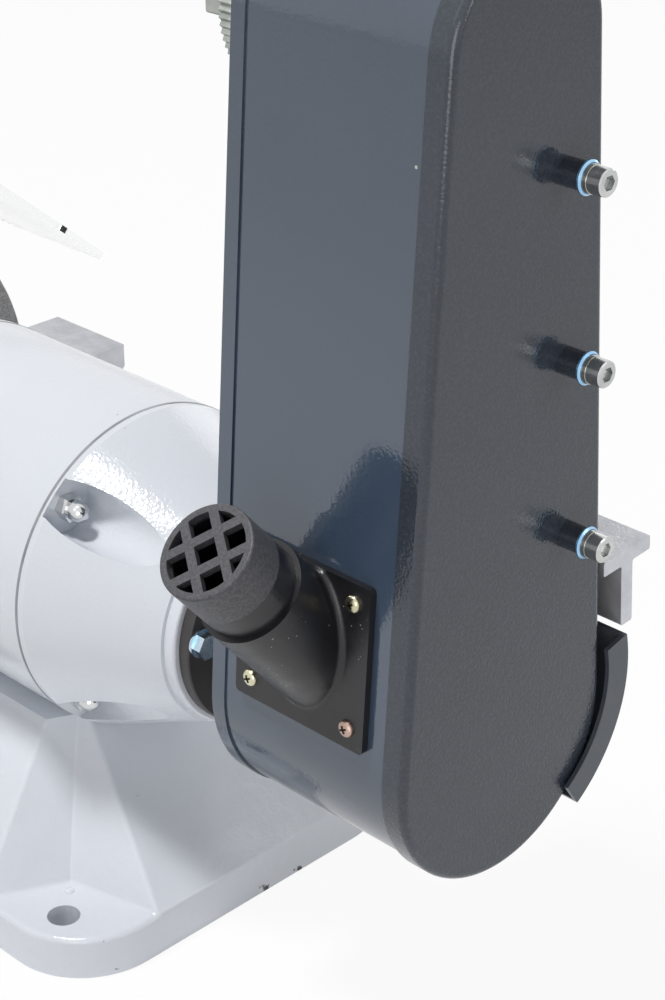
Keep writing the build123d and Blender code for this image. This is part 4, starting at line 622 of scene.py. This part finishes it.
# %% Where the port's screws sit
screw_places = [(low, high, (low + high) / 2) for low, high in solids_of("port_screws")]
bottom = min((middle for low, high, middle in screw_places), key=lambda spot: spot.z)
top = max((middle for low, high, middle in screw_places), key=lambda spot: spot.z)
lean = math.atan2(bottom.y - top.y, top.z - bottom.z)
FACING = Vector((0.0, math.cos(lean), math.sin(lean)))
outer_x = min(middle.x for low, high, middle in screw_places)
print("the port leans", round(math.degrees(lean), 2), "degrees")


# %% [markdown]
# Each screw is domed on top, with a cross recess. Three keep a pale yellow chromate,
# and the lowest one on the outer side has rusted to a dull pink. A dome is a short arc
# spun round, and the recess is two thin dark bars let into it: painted shade, which
# reads as a recess from every side. A recess cut with a boolean would be truer, but it
# is under a millimetre wide.

# %% Screws of the dust port
PAN_RADIUS = 0.0033
PAN_RISE = 0.0021
PAN_SHANK = 0.0019
CROSS_LONG = 0.0030
CROSS_WIDE = 0.0008
CROSS_TURN = math.radians(25.0)
CROSS_LIFT = 0.54
PAN_SIDE = 0.25
DOME_STEPS = 6
HEAD_THICK = 0.0024
ROW_GAP = 0.01

pale_zinc = plating("pale_yellow_zinc", (0.74, 0.71, 0.53), (0.55, 0.51, 0.34), 0.22)
rusted_zinc = plating("rusted_zinc", (0.55, 0.40, 0.34), (0.34, 0.22, 0.18), 0.34)
# painted shade: the dark finish on the cross bars stands in for the shade inside the recess
recess_painted_shade = plating("recess_painted_shade", (0.045, 0.040, 0.028), (0.02, 0.018, 0.014), 0.5)


def pan_screw(shape, seat, depth):
    dome = [
        (-depth, 0.0), (-depth, PAN_SHANK), (0.0, PAN_SHANK), (0.0, PAN_RADIUS),
        (PAN_RISE * PAN_SIDE, PAN_RADIUS),
    ]
    for step in range(1, DOME_STEPS + 1):
        swing = step / DOME_STEPS * math.pi / 2
        along = PAN_SIDE + (1.0 - PAN_SIDE) * math.sin(swing)
        dome.append((PAN_RISE * along, PAN_RADIUS * math.cos(swing)))
    turn(shape, dome, seat, FACING)
    aside = Vector((1.0, 0.0, 0.0))
    upward = FACING.cross(aside)
    for spin in (CROSS_TURN, CROSS_TURN + math.pi / 2):
        bar = bmesh.ops.create_cube(shape, size=1.0)["verts"]
        bmesh.ops.scale(shape, vec=(CROSS_LONG, CROSS_WIDE, PAN_RISE), verts=bar)
        bmesh.ops.rotate(shape, cent=(0, 0, 0), matrix=Matrix.Rotation(spin, 3, "Z"), verts=bar)
        stand = Matrix((aside, upward, FACING)).transposed()
        bmesh.ops.transform(shape, matrix=stand.to_4x4(), verts=bar)
        bmesh.ops.translate(shape, vec=seat + FACING * PAN_RISE * CROSS_LIFT, verts=bar)
        for face in {f for v in bar for f in v.link_faces}:
            face.material_index = 1


for number, (low, high, middle) in enumerate(screw_places):
    length = (high - low).y / math.cos(lean) - (PAN_RADIUS + PAN_SHANK) * math.tan(lean)
    seat = middle + FACING * (length / 2 - HEAD_THICK)
    shape = bmesh.new()
    pan_screw(shape, seat, length - HEAD_THICK)
    worn = middle.x < outer_x + ROW_GAP and middle.z < bottom.z + ROW_GAP
    screw = add_piece(
        "port_pan_screw_%d" % (number + 1), shape, "arm", "yellow_zinc",
        rusted_zinc if worn else pale_zinc, recess_painted_shade,
    )
    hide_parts("port_screws")


# %% [markdown]
# Where each end bell meets the motor's tube, the groove of the joint lies in shade.
# A thin grey ring that fills the groove and stands a hair proud paints that shade as
# a line from every side, without a change to either casting.

# %% Painted shade line at the motor's joints
JOINT_WIDE = 0.0014
JOINT_DEEP = 0.0012
JOINT_PROUD = 0.00015
JOINT_STEPS = 180

# painted shade: a grey ring stands in for the shade in the groove where bell and tube meet
joint_painted_shade = new_finish("joint_painted_shade", (0.20, 0.205, 0.225), roughness=0.5)
joint_shade_tone = drift(joint_painted_shade, scale=45.0, detail=3.0)
paint(joint_painted_shade, blend_colours(joint_painted_shade, joint_shade_tone, (0.21, 0.215, 0.235), (0.38, 0.39, 0.42)))

shell_low, shell_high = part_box("motor_shell")
shell_radius = (shell_high.y - shell_low.y) / 2
shaft_height = (shell_low.z + shell_high.z) / 2
for side, end in (("left", shell_low.x), ("right", shell_high.x)):
    bead = shell_radius + JOINT_PROUD
    shape = bmesh.new()
    band = [
        (-JOINT_WIDE / 2, bead - JOINT_DEEP), (-JOINT_WIDE / 2, bead), (JOINT_WIDE / 2, bead),
        (JOINT_WIDE / 2, bead - JOINT_DEEP), (-JOINT_WIDE / 2, bead - JOINT_DEEP),
    ]
    turn(shape, band, Vector((end, 0.0, shaft_height)), Vector((1.0, 0.0, 0.0)), JOINT_STEPS)
    add_piece("motor_joint_shade_" + side, shape, "frame", "white_paint", joint_painted_shade)


# %% [markdown]
# A sand casting keeps a small pip where the mould was vented, here in the inner
# corner of each pad. It is a flattened dome under the same paint as the foot.

# %% Vent pips on the pads
PIP_RADIUS = 0.0022
PIP_RISE = 0.0010
PAD_TOP = 0.019
PIP_FROM_END = 0.0405
PIP_FROM_SIDE = 0.0305

foot_low, foot_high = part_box("base_casting")
pip_x = foot_high.x - PIP_FROM_END
pip_y = foot_high.y - PIP_FROM_SIDE

pips = bmesh.new()
for side_x in (-pip_x, pip_x):
    for side_y in (-pip_y, pip_y):
        pip = [(-PIP_RISE, 0.0), (-PIP_RISE, PIP_RADIUS)]
        for step in range(DOME_STEPS + 1):
            swing = step / DOME_STEPS * math.pi / 2
            pip.append((PIP_RISE * math.sin(swing), PIP_RADIUS * math.cos(swing)))
        turn(pips, pip, Vector((side_x, side_y, PAD_TOP)), Vector((0.0, 0.0, 1.0)))
add_piece("pad_vent_pips", pips, "frame", "white_paint", cast_white)


# %% [markdown]
# The object stands on a wide white floor, which belongs to the studio and not to the
# machine. A plane just under the foot is enough: the gap is too thin to see, and it
# keeps the two surfaces from lying in one another.

# %% Floor
FLOOR_REACH = 6.0
FLOOR_DROP = 0.0005

floor_shape = bmesh.new()
bmesh.ops.create_grid(floor_shape, x_segments=1, y_segments=1, size=FLOOR_REACH)
bmesh.ops.translate(floor_shape, vec=(0.0, 0.0, -FLOOR_DROP), verts=floor_shape.verts)
floor_mesh = bpy.data.meshes.new("floor")
floor_shape.to_mesh(floor_mesh)
floor_shape.free()
floor = bpy.data.objects.new("floor", floor_mesh)
scene.collection.objects.link(floor)
print("the floor reaches", FLOOR_REACH, "m each way")


# %% [markdown]
# A photographer would burn the floor out with light, but that light would bleach the
# object too. Instead Light Path shows the floor nearly white to the camera and through
# glass, and a little greyer in mirrors, so that dark gloss paint stays dark. What is
# left of the floor's own shading keeps the object's soft shadow.

# %% Floor paint
FLOOR_COLOUR = (0.9, 0.9, 0.9, 1.0)
FLOOR_ROUGHNESS = 0.9
FLOOR_WHITE = 0.92
FLOOR_MIRRORED = 0.7


def seen_as_background(tree, shares):
    """Largest share among the kinds of ray that a Light Path tells apart."""
    path = tree.nodes.new("ShaderNodeLightPath")
    largest = None
    for kind, share in shares.items():
        part = tree.nodes.new("ShaderNodeMath")
        part.operation = "MULTIPLY"
        part.inputs[1].default_value = share
        tree.links.new(path.outputs[kind], part.inputs[0])
        if largest:
            larger = tree.nodes.new("ShaderNodeMath")
            larger.operation = "MAXIMUM"
            tree.links.new(largest, larger.inputs[0])
            tree.links.new(part.outputs[0], larger.inputs[1])
            part = larger
        largest = part.outputs[0]
    return largest


floor_paint = bpy.data.materials.new("floor_white")
floor_paint.use_nodes = True
tree = floor_paint.node_tree
matt = tree.nodes["Principled BSDF"]
matt.inputs["Base Color"].default_value = FLOOR_COLOUR
matt.inputs["Roughness"].default_value = FLOOR_ROUGHNESS
matt.inputs["Specular IOR Level"].default_value = 0.0
glow = tree.nodes.new("ShaderNodeEmission")
floor_shares = {
    "Is Camera Ray": FLOOR_WHITE,
    "Is Transmission Ray": FLOOR_WHITE,
    "Is Glossy Ray": FLOOR_MIRRORED,
}
both = tree.nodes.new("ShaderNodeMixShader")
tree.links.new(seen_as_background(tree, floor_shares), both.inputs[0])
tree.links.new(matt.outputs[0], both.inputs[1])
tree.links.new(glow.outputs[0], both.inputs[2])
tree.links.new(both.outputs[0], tree.nodes["Material Output"].inputs["Surface"])
floor_mesh.materials.append(floor_paint)
print("the camera sees the floor as", FLOOR_WHITE, "white")


# %% [markdown]
# The world is white where it is seen and dim where it lights, and six soft boxes do
# the rest. The key box hangs above the motor, because the bright streak on the end
# bell in the photograph comes from there. The others are weak fills spread round the
# sides, so that the object reads from every angle. A sun lamp would be simpler, but
# its shadows and its glints are too hard for a studio.

# %% World and soft boxes
AMBIENT = 0.12
world = bpy.data.worlds.new("studio")
world.use_nodes = True
scene.world = world
sky = world.node_tree
background = sky.nodes["Background"]
background.inputs["Color"].default_value = (1.0, 1.0, 1.0, 1.0)
level = sky.nodes.new("ShaderNodeMapRange")
level.inputs["To Min"].default_value = AMBIENT
level.inputs["To Max"].default_value = 1.0
sky_shares = {"Is Camera Ray": 1.0, "Is Transmission Ray": 1.0, "Is Glossy Ray": 1.0}
sky.links.new(seen_as_background(sky, sky_shares), level.inputs["Value"])
sky.links.new(level.outputs["Result"], background.inputs["Strength"])

AIM = Vector((-0.05, 0.0, 0.2))
for label, spot, size, watts in (
    ("key", (0.15, 0.57, 2.2), 0.36, 32.5),
    ("side", (0.35, 1.5, 1.5), 0.9, 1.5),
    ("front", (-1.6, -0.6, 0.9), 1.0, 6.5),
    ("low", (-1.0, 1.3, 0.5), 0.9, 5.5),
    ("back", (0.25, -1.7, 0.9), 1.0, 5.0),
    ("end", (1.8, -0.2, 0.8), 1.0, 6.0),
):
    lamp = bpy.data.lights.new(label + "_box", "AREA")
    lamp.size = size
    lamp.energy = watts
    holder = bpy.data.objects.new(label + "_box", lamp)
    holder.location = spot
    holder.rotation_euler = (AIM - Vector(spot)).to_track_quat("-Z", "Y").to_euler()
    scene.collection.objects.link(holder)
print("soft boxes:", len(bpy.data.lights))
